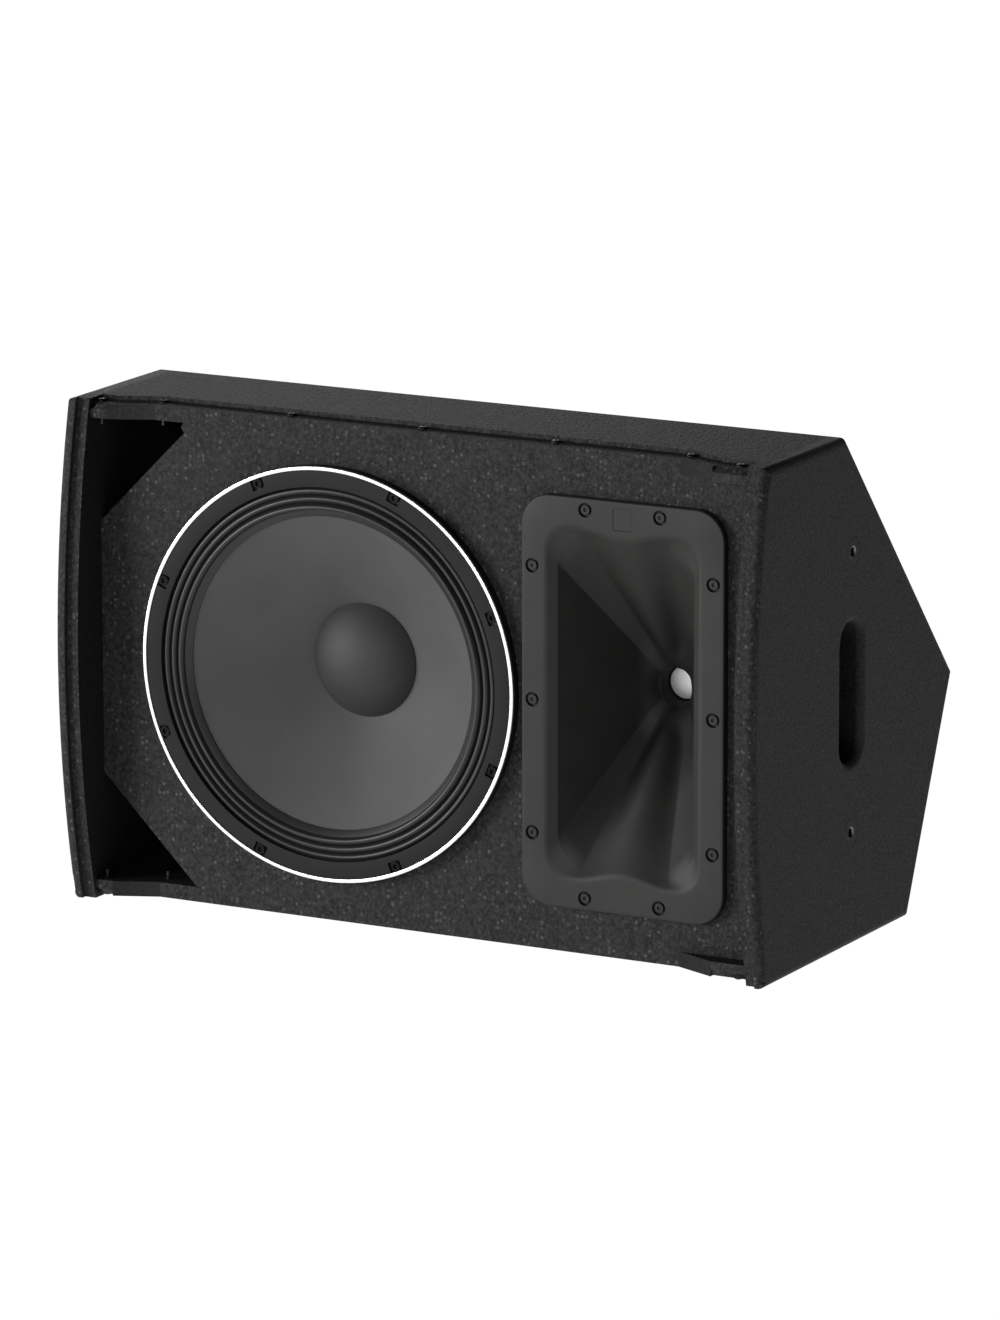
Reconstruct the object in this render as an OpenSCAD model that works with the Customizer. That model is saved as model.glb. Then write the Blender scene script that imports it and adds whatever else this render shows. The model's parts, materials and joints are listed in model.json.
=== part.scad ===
// Two-way loudspeaker cabinet of the stage-wedge kind, lying on its long side.
// X runs along the width from the woofer end to the horn end, Y runs from the front to the
// back, and Z is up. The origin is under the middle of the cabinet's box.

/* [Cabinet] */
// Width across both end panels
cab_w = 720; // [712:1:740]
// Height of the front
cab_h = 473; // [468:1:480]
// Depth of the top panel's outer face
top_depth = 160; // [158:1:164]
// Depth of the rear ridge
ridge_depth = 388; // [384:1:394]
// Height of the rear ridge
ridge_h = 215; // [212:1:218]
// Depth of the bottom panel's outer face
bottom_depth = 297; // [292:1:300]
// Forward bulge of the end panels' arched front edge
front_bulge = 26; // [22:1:28]
// Thickness of the baffle and of the top, bottom and back panels
panel_t = 18; // [18:1:19]
// Thickness of the end panels
end_t = 22; // [21:1:23]
// Radius along the end panels' outer edges
edge_r = 8; // [5:1:8]

/* [Front] */
// Depth of the baffle's front face behind the end panels' front corners
baffle_y = 24; // [24:1:25]
// Leg of the triangular ports in the woofer-side corners
port_leg = 99; // [90:1:101]
// Thickness of the port boards
port_board_t = 12; // [9:1:15]
// Length of the port boards behind the baffle
port_board_len = 83; // [60:1:90]
// Depth of the grille rebate in the top and bottom panels
rebate_t = 4; // [3:0.5:4]
// Width of the grille rebate
rebate_w = 23; // [21:1:24]
// Depth of the forward grille blocks at both ends of the lips
block_y = 6.5; // [6:0.5:8]
// Width of the forward block at the woofer end
block_w_woofer = 18; // [16:1:22]
// Width of the forward block at the horn end
block_w_horn = 36; // [32:1:38]
// Width of the ramp between a forward block and the lip
ramp_w = 41; // [36:1:44]
// Width of the grille ledge on the inside of the end panels' front edge
ledge_w = 11; // [9:1:11]
// Depth of the grille ledge
ledge_t = 5.5; // [4:0.5:6]

/* [Woofer] */
// Distance of the woofer's axis from the left outer face
woofer_x = 265.5; // [264:0.5:267]
// Radius over the bright trim ring
woofer_r = 193.5; // [193:0.5:194]
// How far the trim ring stands in front of the baffle
woofer_proud = 12; // [12:1:13]
// Radius of the cone at its glued rim
cone_r = 152; // [151:0.5:153]
// Radius of the dust cap
cap_r = 54; // [50:1:56]
// Height of the dust cap's dome
cap_h = 24; // [18:1:26]
// Radius of the voice coil former's outside
coil_r = 38.6; // [38:0.1:39]
// Radius of the ferrite ring magnet
magnet_r = 95; // [90:1:100]
// Number of woofer screws, spokes and tee nuts
woofer_screw_n = 8; // [8]

/* [Horn] */
// Distance of the horn's axis from the left outer face
horn_x = 567.5; // [567:0.5:568]
// Width of the horn's front plate
horn_w = 204; // [200:1:206]
// Height of the horn's front plate
horn_h = 379; // [376:1:382]
// Thickness of the horn's front plate
horn_t = 8; // [7:1:9]
// Corner radius of the horn's front plate
horn_corner_r = 29; // [26:1:32]
// Half width of the mouth
mouth_x = 77.5; // [76:0.5:78]
// Half height of the mouth at its four lobes
mouth_z = 162; // [160:0.5:163]
// How far the mouth's edge dips between two lobes
mouth_dip = 7.5; // [4:0.5:10]
// Corner radius of the mouth
mouth_corner_r = 28; // [26:1:30]
// Depth of the flare from the plate's front to the throat
flare_depth = 110; // [106:1:112]
// Radius of the throat
throat_r = 17; // [16:0.5:18]
// Wall of the flare
flare_wall = 4; // [3:0.5:4]

/* [Handles and rigging] */
// Distance of handles and fly points behind the front corners
rig_y = 173; // [171:1:175]
// Length of the hand slot through an end panel
slot_len = 129; // [124:1:132]
// Width of the hand slot
slot_w = 42; // [38:1:43]
// Corner radius of the hand slot
slot_r = 19; // [16:1:19]
// Spacing of the two fly points on one end
fly_spacing = 260; // [256:1:264]
// Tapping radius of the M10 fly points
fly_bore_r = 4.25; // [4.25]
// Height of the rubber feet
foot_h = 8; // [6:1:10]

/* [Input] */
// Width of the recessed connector dish's rim
dish_w = 170; // [160:1:180]
// Height of the dish's rim
dish_h = 104; // [100:1:110]
// Depth of the dish
dish_depth = 28; // [24:1:30]
// Travel of the mode switch's lever
switch_travel = 6; // [5:1:6]

/* [Hidden] */
$fn = 96;
eps = 0.05;      // overshoot of a cutter past a face
coat = [0.16, 0.16, 0.165];
black_plastic = [0.12, 0.12, 0.12];
steel = [0.62, 0.62, 0.63];
ferrite = [0.22, 0.22, 0.23];
brass = [0.78, 0.62, 0.28];

// ---- Directions and outline of the wedge, as points [Y, Z] ----
mid_z = cab_h / 2;
box_mid_y = (ridge_depth - front_bulge) / 2;
arch_r = (mid_z * mid_z + front_bulge * front_bulge) / (2 * front_bulge);
corner_bottom = [bottom_depth, 0];
corner_ridge = [ridge_depth, ridge_h];
corner_top = [top_depth, cab_h];
front_bottom = [0, 0];
front_top = [0, cab_h];

function unit(v) = v / norm(v);
function inward(p, q) = let (d = unit(q - p)) [-d[1], d[0]];
function meet(p, d, q, e) =
    let (c = d[0] * e[1] - d[1] * e[0], w = q - p) p + d * (w[0] * e[1] - w[1] * e[0]) / c;
function inset_corner(a, b, c, t) =
    meet(a + t * inward(a, b), b - a, b + t * inward(b, c), c - b);
function inset(points, t) = let (n = len(points)) [
    for (i = [0:n - 1])
        inset_corner(points[(i + n - 1) % n], points[i], points[(i + 1) % n], t)
];

inner_bottom = inset_corner(front_bottom, corner_bottom, corner_ridge, panel_t);
inner_ridge = inset_corner(corner_bottom, corner_ridge, corner_top, panel_t);
inner_top = inset_corner(corner_ridge, corner_top, front_top, panel_t);
baffle_back = baffle_y + panel_t;
cavity = [
    [baffle_back, panel_t], inner_bottom, inner_ridge, inner_top, [baffle_back, cab_h - panel_t]
];

// ---- Placing ----
module cab() translate([-cab_w / 2, -box_mid_y, 0]) children();

// Extrudes a [Y, Z] outline from one X to another
module along_x(x0, x1) translate([x0, 0, 0]) rotate([90, 0, 90]) linear_extrude(x1 - x0) children();

// Puts a shape drawn round +Z on an axis that runs into the cabinet, with its zero at depth y
module into_front(x, z, y) translate([x, y, z]) rotate([-90, 0, 0]) children();

// Lays a shape on an outer back face: local Z points out of the cabinet, local Y down the face
module on_face(low, high, x, s) {
    mid = (low + high) / 2;
    d = unit(high - low);
    translate([x, mid[0], mid[1]]) rotate([atan2(-d[1], -d[0]), 0, 0]) translate([0, s, 0]) children();
}
module on_lower_back(x, s) on_face(corner_bottom, corner_ridge, x, s) children();
module on_upper_back(x, s) on_face(corner_ridge, corner_top, x, s) children();

// End panel frame: local X is Y, local Y is Z, local Z runs outwards from the inner face
module right_end() translate([cab_w - end_t, 0, 0]) rotate([90, 0, 90]) children();
module left_end() translate([cab_w, 0, 0]) mirror([1, 0, 0]) right_end() children();

// Upper and lower halves of the front are mirror images about mid height
module mirrored_z() translate([0, 0, cab_h]) mirror([0, 0, 1]) children();

module ring(r0, r1, z0, z1) translate([0, 0, z0]) difference() {
    cylinder(r = r1, h = z1 - z0);
    translate([0, 0, -1]) cylinder(r = r0, h = z1 - z0 + 2);
}

module rounded_rect(w, h, r) {
    square([w - 2 * r, h], center = true);
    square([w, h - 2 * r], center = true);
    for (sx = [-1, 1], sy = [-1, 1])
        translate([sx * (w / 2 - r), sy * (h / 2 - r)]) circle(r);
}

module round_plate(w, h, r, z0, z1) translate([0, 0, z0]) linear_extrude(z1 - z0) rounded_rect(w, h, r);

// ---- End panels ----
// A long board whose edge from p to q is rounded on the outside
module rolled_board(p, q) {
    d = unit(q - p);
    reach = 900;
    translate([p[0], p[1], 0]) rotate([0, 0, atan2(d[1], d[0])]) rotate([90, 0, 90])
        translate([0, 0, -reach]) linear_extrude(2 * reach) {
            translate([edge_r, 0]) square([reach, end_t]);
            square([reach, end_t - edge_r]);
            translate([edge_r, end_t - edge_r]) circle(edge_r);
        }
}

module arched_disc(r, t) translate([arch_r - front_bulge, mid_z, 0]) cylinder(r = r, h = t, $fn = 256);

module arched_board() translate([arch_r - front_bulge, mid_z, 0]) rotate_extrude($fn = 256) {
    square([arch_r - edge_r, end_t]);
    square([arch_r, end_t - edge_r]);
    translate([arch_r - edge_r, end_t - edge_r]) circle(edge_r);
}

// Cutter that leaves a quarter round of radius edge_r where a hole's wall meets the outside
module mouth_flare_profile() difference() {
    translate([-1, 0]) square([edge_r + 1, edge_r + 1]);
    translate([edge_r, 0]) circle(edge_r);
}

module slot_cutter() {
    straight_x = slot_w / 2 - slot_r;
    straight_y = slot_len / 2 - slot_r;
    round_plate(slot_w, slot_len, slot_r, -1, end_t + 1);
    translate([0, 0, end_t - edge_r]) {
        for (sx = [-1, 1], sy = [-1, 1]) translate([sx * straight_x, sy * straight_y, 0])
            rotate_extrude() translate([slot_r, 0]) mouth_flare_profile();
        for (sx = [0, 180]) rotate([0, 0, sx]) translate([slot_w / 2, straight_y, 0])
            rotate([90, 0, 0]) linear_extrude(2 * straight_y) mouth_flare_profile();
        for (sy = [90, 270]) rotate([0, 0, sy]) translate([slot_len / 2, straight_x, 0])
            rotate([90, 0, 0]) linear_extrude(2 * straight_x) mouth_flare_profile();
    }
}

insert_flange_r = 14;
insert_flange_t = 2.5;
insert_barrel_r = 7.5;

module fly_points() for (s = [-1, 1]) translate([rig_y, mid_z + s * fly_spacing / 2, 0]) children();

module end_board() difference() {
    intersection() {
        rolled_board(front_bottom, corner_bottom);
        rolled_board(corner_bottom, corner_ridge);
        rolled_board(corner_ridge, corner_top);
        rolled_board(corner_top, front_top);
        arched_board();
    }
    difference() {
        translate([-front_bulge - 1, -1, -1]) cube([front_bulge + 12, cab_h + 2, ledge_w + 1]);
        arched_disc(arch_r - ledge_t, end_t);
    }
    translate([rig_y, mid_z, 0]) slot_cutter();
    fly_points() {
        translate([0, 0, end_t - insert_flange_t]) cylinder(r = insert_flange_r, h = 10);
        translate([0, 0, -1]) cylinder(r = insert_barrel_r, h = end_t + 2);
    }
    handle_screw_places() translate([0, 0, -1]) cylinder(r = 1.6, h = handle_screw_len - 2);
}

module end_panel_right() color(coat) cab() right_end() end_board();
module end_panel_left() color(coat) cab() left_end() end_board();

// ---- Top and bottom panels with the grille lips ----
lip_x0 = end_t;
lip_x1 = cab_w - end_t;
// The lip's front outline in plan, moved back by a distance
function lip_front(back) = [
    [lip_x0, block_y + back], [lip_x0 + block_w_woofer, block_y + back],
    [lip_x0 + block_w_woofer + ramp_w, baffle_y + back],
    [lip_x1 - block_w_horn - ramp_w, baffle_y + back],
    [lip_x1 - block_w_horn, block_y + back], [lip_x1, block_y + back]
];

lip_chamfer = 5.5;
grille_screw_y = 39;
grille_block_screw_y = 19;
grille_screw_ends = [27, 684];
grille_screw_mid = [81, 625];
grille_screw_mid_n = 5;
grille_screw_r = 1.9;
grille_screw_depth = 22;

module grille_screw_places(z) {
    for (x = grille_screw_ends) translate([x, grille_block_screw_y, z]) children();
    for (i = [0:grille_screw_mid_n - 1]) {
        f = i / (grille_screw_mid_n - 1);
        x = grille_screw_mid[0] + f * (grille_screw_mid[1] - grille_screw_mid[0]);
        translate([x, grille_screw_y, z]) children();
    }
}

module grille_screw_holes() grille_screw_places(cab_h - rebate_t - grille_screw_depth)
    cylinder(r = grille_screw_r, h = grille_screw_depth + 1);

// The panel drawn as the top one; depth and mitre are its own
module lipped_panel(outer_corner, inner_corner) difference() {
    intersection() {
        translate([0, 0, cab_h - panel_t]) linear_extrude(panel_t)
            polygon(concat(lip_front(0), [[lip_x1, 400], [lip_x0, 400]]));
        along_x(lip_x0, lip_x1) polygon([
            [0, cab_h], [0, cab_h - panel_t], inner_corner, outer_corner
        ]);
    }
    translate([0, 0, cab_h - rebate_t]) linear_extrude(rebate_t + 1)
        polygon(concat(lip_front(rebate_w), [[lip_x1, 0], [lip_x0, 0]]));
    for (span = [[lip_x0, lip_x0 + block_w_woofer], [lip_x1 - block_w_horn, lip_x1]])
        along_x(span[0], span[1]) polygon([
            [block_y - 1, cab_h - rebate_t - lip_chamfer - 1],
            [block_y + lip_chamfer + 1, cab_h - rebate_t + 1],
            [block_y - 1, cab_h - rebate_t + 1]
        ]);
    grille_screw_holes();
}

function flip_z(p) = [p[0], cab_h - p[1]];

module top_panel() color(coat) cab() lipped_panel(corner_top, inner_top);
module bottom_panel() color(coat) cab() mirrored_z()
    lipped_panel(flip_z(corner_bottom), flip_z(inner_bottom));

// ---- Back panels ----
module upper_back_panel() color(coat) cab() difference() {
    along_x(lip_x0, lip_x1) polygon([corner_ridge, corner_top, inner_top, inner_ridge]);
    foot_places() translate([0, 0, -foot_screw_len]) cylinder(r = foot_screw_r, h = foot_screw_len + 1);
}

pocket_w = 136;
pocket_h = 68;
dish_wall = 2.5;
dish_x = 330;

module lower_back_panel() color(coat) cab() difference() {
    along_x(lip_x0, lip_x1) polygon([corner_bottom, corner_ridge, inner_ridge, inner_bottom]);
    on_lower_back(dish_x, 0) round_plate(pocket_w, pocket_h, 8, -40, 1);
    dish_screw_places() translate([0, 0, -14]) cylinder(r = 1.6, h = 20);
}

// ---- Baffle ----
woofer_hole_r = 178.5;
horn_hole = [166, 336];
horn_hole_r = 20;
bolt_circle_r = 185.5;
tee_barrel_r = 4;

module woofer_bolt_places() for (i = [0:woofer_screw_n - 1])
    rotate([0, 0, (i + 0.5) * 360 / woofer_screw_n]) translate([bolt_circle_r, 0, 0]) children();

module horn_screw_places() {
    for (sx = [-1, 1], sz = [-1, 1]) translate([sx * 37.5, sz * 178.7, 0]) children();
    for (sx = [-1, 1], z = [-123.2, 0, 123.2]) translate([sx * 91, z, 0]) children();
}

module front_baffle() color(coat) cab() difference() {
    into_front(0, cab_h, baffle_y) linear_extrude(panel_t) polygon([
        [lip_x0 + port_leg, panel_t], [lip_x1, panel_t], [lip_x1, cab_h - panel_t],
        [lip_x0 + port_leg, cab_h - panel_t], [lip_x0, cab_h - panel_t - port_leg],
        [lip_x0, panel_t + port_leg]
    ]);
    into_front(woofer_x, mid_z, baffle_y) {
        translate([0, 0, -1]) cylinder(r = woofer_hole_r, h = panel_t + 2);
        woofer_bolt_places() {
            translate([0, 0, -1]) cylinder(r = 3.2, h = panel_t + 2);
            translate([0, 0, panel_t - 10]) cylinder(r = tee_barrel_r, h = 11);
        }
    }
    into_front(horn_x, mid_z, baffle_y) {
        round_plate(horn_hole[0], horn_hole[1], horn_hole_r, -1, panel_t + 1);
        horn_screw_places() translate([0, 0, -1]) cylinder(r = 2, h = 16);
    }
    grille_screw_holes();
    mirrored_z() grille_screw_holes();
}

// ---- Ports, cleats, brace and lining ----
module port_board() {
    slant = port_board_t * sqrt(2);
    x = lip_x0 + port_leg;
    z = cab_h - panel_t;
    translate([0, baffle_back + port_board_len, 0]) rotate([90, 0, 0]) linear_extrude(port_board_len)
        polygon([[x, z], [lip_x0, z - port_leg], [lip_x0, z - port_leg - slant], [x + slant, z]]);
}

module port_board_upper() color(coat) cab() port_board();
module port_board_lower() color(coat) cab() mirrored_z() port_board();

cleat = 18;
cleat_gap = 0.5;    // between the ends of two cleats that meet at a corner
brace_x = 452;
brace_t = 15;
brace_rib = 36;

module baffle_cleats() color("burlywood") cab() {
    spans = [[lip_x0 + port_leg + 20, brace_x], [brace_x + brace_t, lip_x1 - cleat - cleat_gap]];
    for (s = spans, z = [panel_t, cab_h - panel_t - cleat])
        translate([s[0], baffle_back, z]) cube([s[1] - s[0], cleat, cleat]);
    translate([lip_x1 - cleat, baffle_back, panel_t]) cube([cleat, cleat, cab_h - 2 * panel_t]);
    side_z = panel_t + port_leg + 20;
    translate([lip_x0, baffle_back, side_z]) cube([cleat, cleat, cab_h - 2 * side_z]);
}

module cabinet_brace() color("burlywood") cab() along_x(brace_x, brace_x + brace_t) difference() {
    polygon(cavity);
    polygon(inset(cavity, brace_rib));
}

lining_t = 20;
lining_spans = [[lip_x0 + 8, brace_x - 6], [brace_x + brace_t + 6, lip_x1 - 8]];

module acoustic_lining() color("dimgray") cab() for (s = lining_spans) {
    mid = (s[0] + s[1]) / 2;
    on_upper_back(mid, 0) translate([0, 0, -panel_t - lining_t / 2])
        cube([s[1] - s[0], 270, lining_t - 1], center = true);
    translate([s[0], 268, panel_t + 6]) cube([s[1] - s[0] - 145, 12, 30]);
}

// ---- Handles ----
cup_flange_t = 3;
cup_margin = 7;
cup_depth = 44;
cup_wall = 3;
handle_screw_len = 16;

module handle_screw_places() translate([rig_y, mid_z, 0])
    for (sx = [-1, 1], y = [-60, 0, 60]) translate([sx * 38, y, 0]) children();

module handle_cup() translate([rig_y, mid_z, 0]) difference() {
    union() {
        round_plate(slot_w + 52, slot_len + 52, 20, -cup_flange_t, 0);
        round_plate(slot_w + 2 * cup_margin + 2 * cup_wall, slot_len + 2 * cup_margin + 2 * cup_wall,
            slot_r + cup_margin + cup_wall, -cup_depth, -cup_flange_t / 2);
    }
    round_plate(slot_w, slot_len, slot_r, -cup_flange_t - 1, 1);
    round_plate(slot_w + 2 * cup_margin, slot_len + 2 * cup_margin, slot_r + cup_margin,
        -cup_depth + cup_wall, -cup_flange_t);
    translate([-rig_y, -mid_z, 0]) handle_screw_places() translate([0, 0, -10]) cylinder(r = 2.3, h = 12);
}

module handle_cup_right() color(black_plastic) cab() right_end() handle_cup();
module handle_cup_left() color(black_plastic) cab() left_end() handle_cup();

module wood_screw(head_r, head_t, shank_r, len) {
    difference() {
        cylinder(r = head_r, h = head_t);
        translate([0, 0, -1]) cylinder(r = head_r * 0.42, h = 1 + head_t * 0.6, $fn = 6);
    }
    translate([0, 0, head_t - eps]) cylinder(r = shank_r, h = len + eps);
}

module handle_screws() color(steel) cab() {
    right_end() handle_screw_places() translate([0, 0, -cup_flange_t - 2.4]) wood_screw(4, 2.4, 1.6, 13);
    left_end() handle_screw_places() translate([0, 0, -cup_flange_t - 2.4]) wood_screw(4, 2.4, 1.6, 13);
}

// ---- Fly points and feet ----
insert_len = 26;
insert_bore_len = 21;

module fly_insert() difference() {
    union() {
        translate([0, 0, end_t - insert_flange_t]) cylinder(r = insert_flange_r, h = insert_flange_t);
        translate([0, 0, end_t - insert_len]) cylinder(r = insert_barrel_r, h = insert_len);
    }
    translate([0, 0, end_t - insert_bore_len]) cylinder(r = fly_bore_r, h = insert_bore_len + 1);
    translate([0, 0, end_t - 1]) cylinder(r1 = fly_bore_r, r2 = fly_bore_r + 1.2, h = 1 + eps);
}

module fly_point_inserts() color(steel) cab() {
    right_end() fly_points() fly_insert();
    left_end() fly_points() fly_insert();
}

foot_r = 17;
foot_screw_r = 2;
foot_screw_len = 14;
foot_x = 60;
foot_s = 110;

module foot_places() for (x = [foot_x, cab_w - foot_x], s = [-foot_s, foot_s]) on_upper_back(x, s) children();

module rubber_feet() color("black") cab() foot_places() {
    cylinder(r1 = foot_r, r2 = foot_r - 2, h = foot_h);
    translate([0, 0, -foot_screw_len + 1]) cylinder(r = foot_screw_r, h = foot_screw_len);
}

// ---- Grille screws ----
module grille_screw() {
    difference() {
        union() {
            cylinder(r = 4.6, h = 1);
            translate([0, 0, 1]) cylinder(r1 = 4.6, r2 = 3, h = 1.3);
        }
        translate([0, 0, 0.9]) cylinder(r = 1.9, h = 2, $fn = 6);
    }
    translate([0, 0, -grille_screw_depth + 0.5]) cylinder(r = grille_screw_r, h = grille_screw_depth);
}

module grille_screws_top() color("silver") cab() grille_screw_places(cab_h - rebate_t) grille_screw();
module grille_screws_bottom() color("silver") cab() mirrored_z()
    grille_screw_places(cab_h - rebate_t) grille_screw();

// ---- Woofer: every depth is measured back from the trim ring's front ----
module woofer() into_front(woofer_x, mid_z, baffle_y - woofer_proud) children();

flange_r = woofer_r - 3.5;
trim_t = 3;
gasket_d = [1, 5];
basket_wall = [174.5, 177.8];
land_d = 5;
rim_end_d = 44;
roll_r = basket_wall[0] - 0.5;
land_r = roll_r + 6.4;
spider_land_d = 95;
plate_d = 112;
plate_t = 10;
magnet_t = 20;
back_t = 12;
pole_r = 37.5;
gap_r = 40.4;
winding_r = 39.9;
cone_slope = 0.679;
cone_band = 6;
function cone_d(r) = 7.4 + (cone_r - r) * cone_slope;
cone_t = 1.5;

module woofer_trim_ring() color([0.95, 0.95, 0.95]) cab() woofer() rotate_extrude($fn = 180) polygon([
    [flange_r + 0.1, 0.6], [flange_r + 0.7, 0], [woofer_r - 1.2, 0], [woofer_r, 1.2],
    [woofer_r, trim_t], [flange_r + 0.1, trim_t]
]);

notch_w = 13;

module woofer_gasket_ring() color([0.2, 0.2, 0.2]) cab() woofer() difference() {
    rotate_extrude($fn = 180) polygon([
        [roll_r + 0.2, gasket_d[0] + 0.8], [roll_r + 1, gasket_d[0]], [flange_r, gasket_d[0]],
        [flange_r, gasket_d[1]], [land_r + 0.2, gasket_d[1]], [land_r + 0.2, gasket_d[1] - 1],
        [roll_r + 0.2, gasket_d[1] - 1]
    ]);
    woofer_bolt_places() translate([-5.5, -notch_w / 2, 0]) cube([20, notch_w, gasket_d[1] + 1]);
}

module basket_spoke() rotate([90, 0, 0]) translate([0, 0, -7]) linear_extrude(14) polygon([
    [175.5, 38], [177.8, 30.5], [177.8, rim_end_d], [98, 108], [90, 106], [90, 97], [168, 42]
]);

module woofer_basket() color([0.25, 0.25, 0.26]) cab() woofer() difference() {
    union() {
        rotate_extrude($fn = 180) polygon([
            [basket_wall[0], land_d], [flange_r, land_d], [flange_r, trim_t],
            [woofer_r - 0.1, trim_t], [woofer_r - 0.1, woofer_proud], [basket_wall[1], woofer_proud],
            [basket_wall[1], rim_end_d], [basket_wall[0], rim_end_d]
        ]);
        rotate_extrude() polygon([
            [84, spider_land_d], [98, spider_land_d], [98, plate_d], [46, plate_d],
            [46, plate_d - 4], [84, plate_d - 4]
        ]);
        for (i = [0:woofer_screw_n - 1]) rotate([0, 0, (i + 0.5) * 360 / woofer_screw_n]) basket_spoke();
    }
    woofer_bolt_places() cylinder(r = 3.2, h = 20);
}

bolt_r = 2.95;

module woofer_screws() color("silver") cab() woofer() woofer_bolt_places() {
    difference() {
        translate([0, 0, 1.4]) cylinder(r = 4.6, h = land_d - 1.4);
        translate([0, 0, 0]) cylinder(r = 2.6, h = 3.4, $fn = 6);
    }
    translate([0, 0, land_d - eps]) cylinder(r = bolt_r, h = 30);
}

module woofer_tee_nuts() color(steel) cab() woofer() woofer_bolt_places() difference() {
    union() {
        translate([0, 0, woofer_proud + panel_t - 9.9]) cylinder(r = tee_barrel_r, h = 10);
        translate([0, 0, woofer_proud + panel_t]) cylinder(r = 7.5, h = 1.6);
    }
    cylinder(r = 3, h = 60);
}

// Front and back outline of a pleated ring: rolls between r0 and r1 rise forwards by rise
function pleat(r0, r1, d0, d1, n, rise, steps) = [
    for (i = [0:n * steps]) let (f = i / (n * steps))
        [r0 + f * (r1 - r0), d0 + f * (d1 - d0) - rise * abs(sin(180 * n * f))]
];
function moved_d(points, d) = [for (p = points) [p[0], p[1] + d]];
function backwards(points) = [for (i = [len(points) - 1:-1:0]) points[i]];

surround_t = 1;
band_r = cone_r - cone_band;

module woofer_surround() color([0.17, 0.17, 0.17]) cab() woofer() {
    rolls = pleat(cone_r, roll_r, cone_d(cone_r) - surround_t, land_d - surround_t, 3, 2.6, 8);
    front = concat([[band_r, cone_d(band_r) - surround_t]], rolls, [[land_r, land_d - surround_t]]);
    rotate_extrude($fn = 180) polygon(concat(front, backwards(moved_d(front, surround_t))));
}

module woofer_cone() color([0.3, 0.3, 0.3]) cab() woofer() rotate_extrude($fn = 180) polygon([
    [cone_r, cone_d(cone_r)], [coil_r + eps, cone_d(coil_r)],
    [coil_r + eps, cone_d(coil_r) + cone_t], [cone_r, cone_d(cone_r) + cone_t]
]);

cap_sphere_r = (cap_r * cap_r + cap_h * cap_h) / (2 * cap_h);
cap_rim_d = cone_d(cap_r) - 0.9;

module woofer_dust_cap() color([0.33, 0.33, 0.33]) cab() woofer() difference() {
    translate([0, 0, cap_rim_d - cap_h + cap_sphere_r]) sphere(cap_sphere_r, $fn = 128);
    translate([0, 0, cap_rim_d - cap_h + cap_sphere_r]) sphere(cap_sphere_r - 0.8, $fn = 128);
    translate([0, 0, cap_rim_d]) cylinder(r = 100, h = 200);
}

module woofer_spider() color("goldenrod") cab() woofer() {
    front = concat(
        [[coil_r + 0.1, spider_land_d - 0.7]],
        pleat(42, 84, spider_land_d - 0.7, spider_land_d - 0.7, 6, 2.2, 6),
        [[88, spider_land_d - 0.7]]
    );
    rotate_extrude() polygon(concat(front, backwards(moved_d(front, 0.7))));
}

coil_d = [82, 130];
winding_d = [107, 127];

module voice_coil_former() color([0.75, 0.5, 0.3]) cab() woofer() ring(coil_r - 0.5, coil_r, coil_d[0], coil_d[1]);
module voice_coil_winding() color([0.72, 0.4, 0.2]) cab() woofer()
    ring(coil_r, winding_r, winding_d[0], winding_d[1]);

magnet_d = plate_d + plate_t;
yoke_d = magnet_d + magnet_t;

module woofer_top_plate() color(steel) cab() woofer() ring(gap_r, magnet_r - 13, plate_d, plate_d + plate_t);
module woofer_magnet() color(ferrite) cab() woofer() ring(48, magnet_r, magnet_d, yoke_d);
module woofer_yoke() color(steel) cab() woofer() difference() {
    union() {
        translate([0, 0, yoke_d]) cylinder(r = magnet_r - 11, h = back_t);
        translate([0, 0, plate_d + 1]) cylinder(r = pole_r, h = magnet_t + plate_t);
    }
    cylinder(r = 13, h = 200);
}

terminal_x = [-9, 9];

// Terminal frame: local X across, local Y out of the basket's rim at its lowest point
module woofer_terminal_frame() woofer() translate([0, basket_wall[1] + 0.1, rim_end_d - 12]) children();

module woofer_terminal_block() color("firebrick") cab() woofer_terminal_frame() difference() {
    translate([-17, 0.5, 0]) cube([34, 9.5, 11]);
    for (x = terminal_x) translate([x - 3.2, 3, -1]) cube([6.4, 1, 13]);
}

module woofer_terminal_tabs() color(brass) cab() woofer_terminal_frame()
    for (x = terminal_x) translate([x - 3.15, 3.05, 0]) cube([6.3, 0.9, 17]);

// ---- Cables ----
// A smooth curve through hand-chosen points, steps to a span
function curve(p, steps) = let (n = len(p)) [
    for (i = [0:n - 2], k = [0:steps - (i == n - 2 ? 0 : 1)])
        let (
            a = p[max(i - 1, 0)], b = p[i], c = p[i + 1], e = p[min(i + 2, n - 1)], t = k / steps
        )
        (2 * b + (c - a) * t + (2 * a - 5 * b + 4 * c - e) * t * t
            + (3 * b - a - 3 * c + e) * t * t * t) / 2
];

// A round tube swept along points
module tube(points, r, sides = 8) {
    n = len(points);
    rings = [
        for (i = [0:n - 1])
            let (
                t = unit(points[min(i + 1, n - 1)] - points[max(i - 1, 0)]),
                u = unit(cross(t, [0.31, 0.17, 0.93])),
                v = cross(t, u)
            )
            for (k = [0:sides - 1])
                points[i] + r * (cos(360 * k / sides) * u + sin(360 * k / sides) * v)
    ];
    sides_faces = [
        for (i = [0:n - 2], k = [0:sides - 1])
            let (a = i * sides + k, b = i * sides + (k + 1) % sides)
            [a, a + sides, b + sides, b]
    ];
    caps = [[for (k = [0:sides - 1]) k], [for (k = [sides - 1:-1:0]) (n - 1) * sides + k]];
    polyhedron(rings, concat(sides_faces, caps));
}

lead_r = 0.9;
cable_r = 3;
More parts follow.
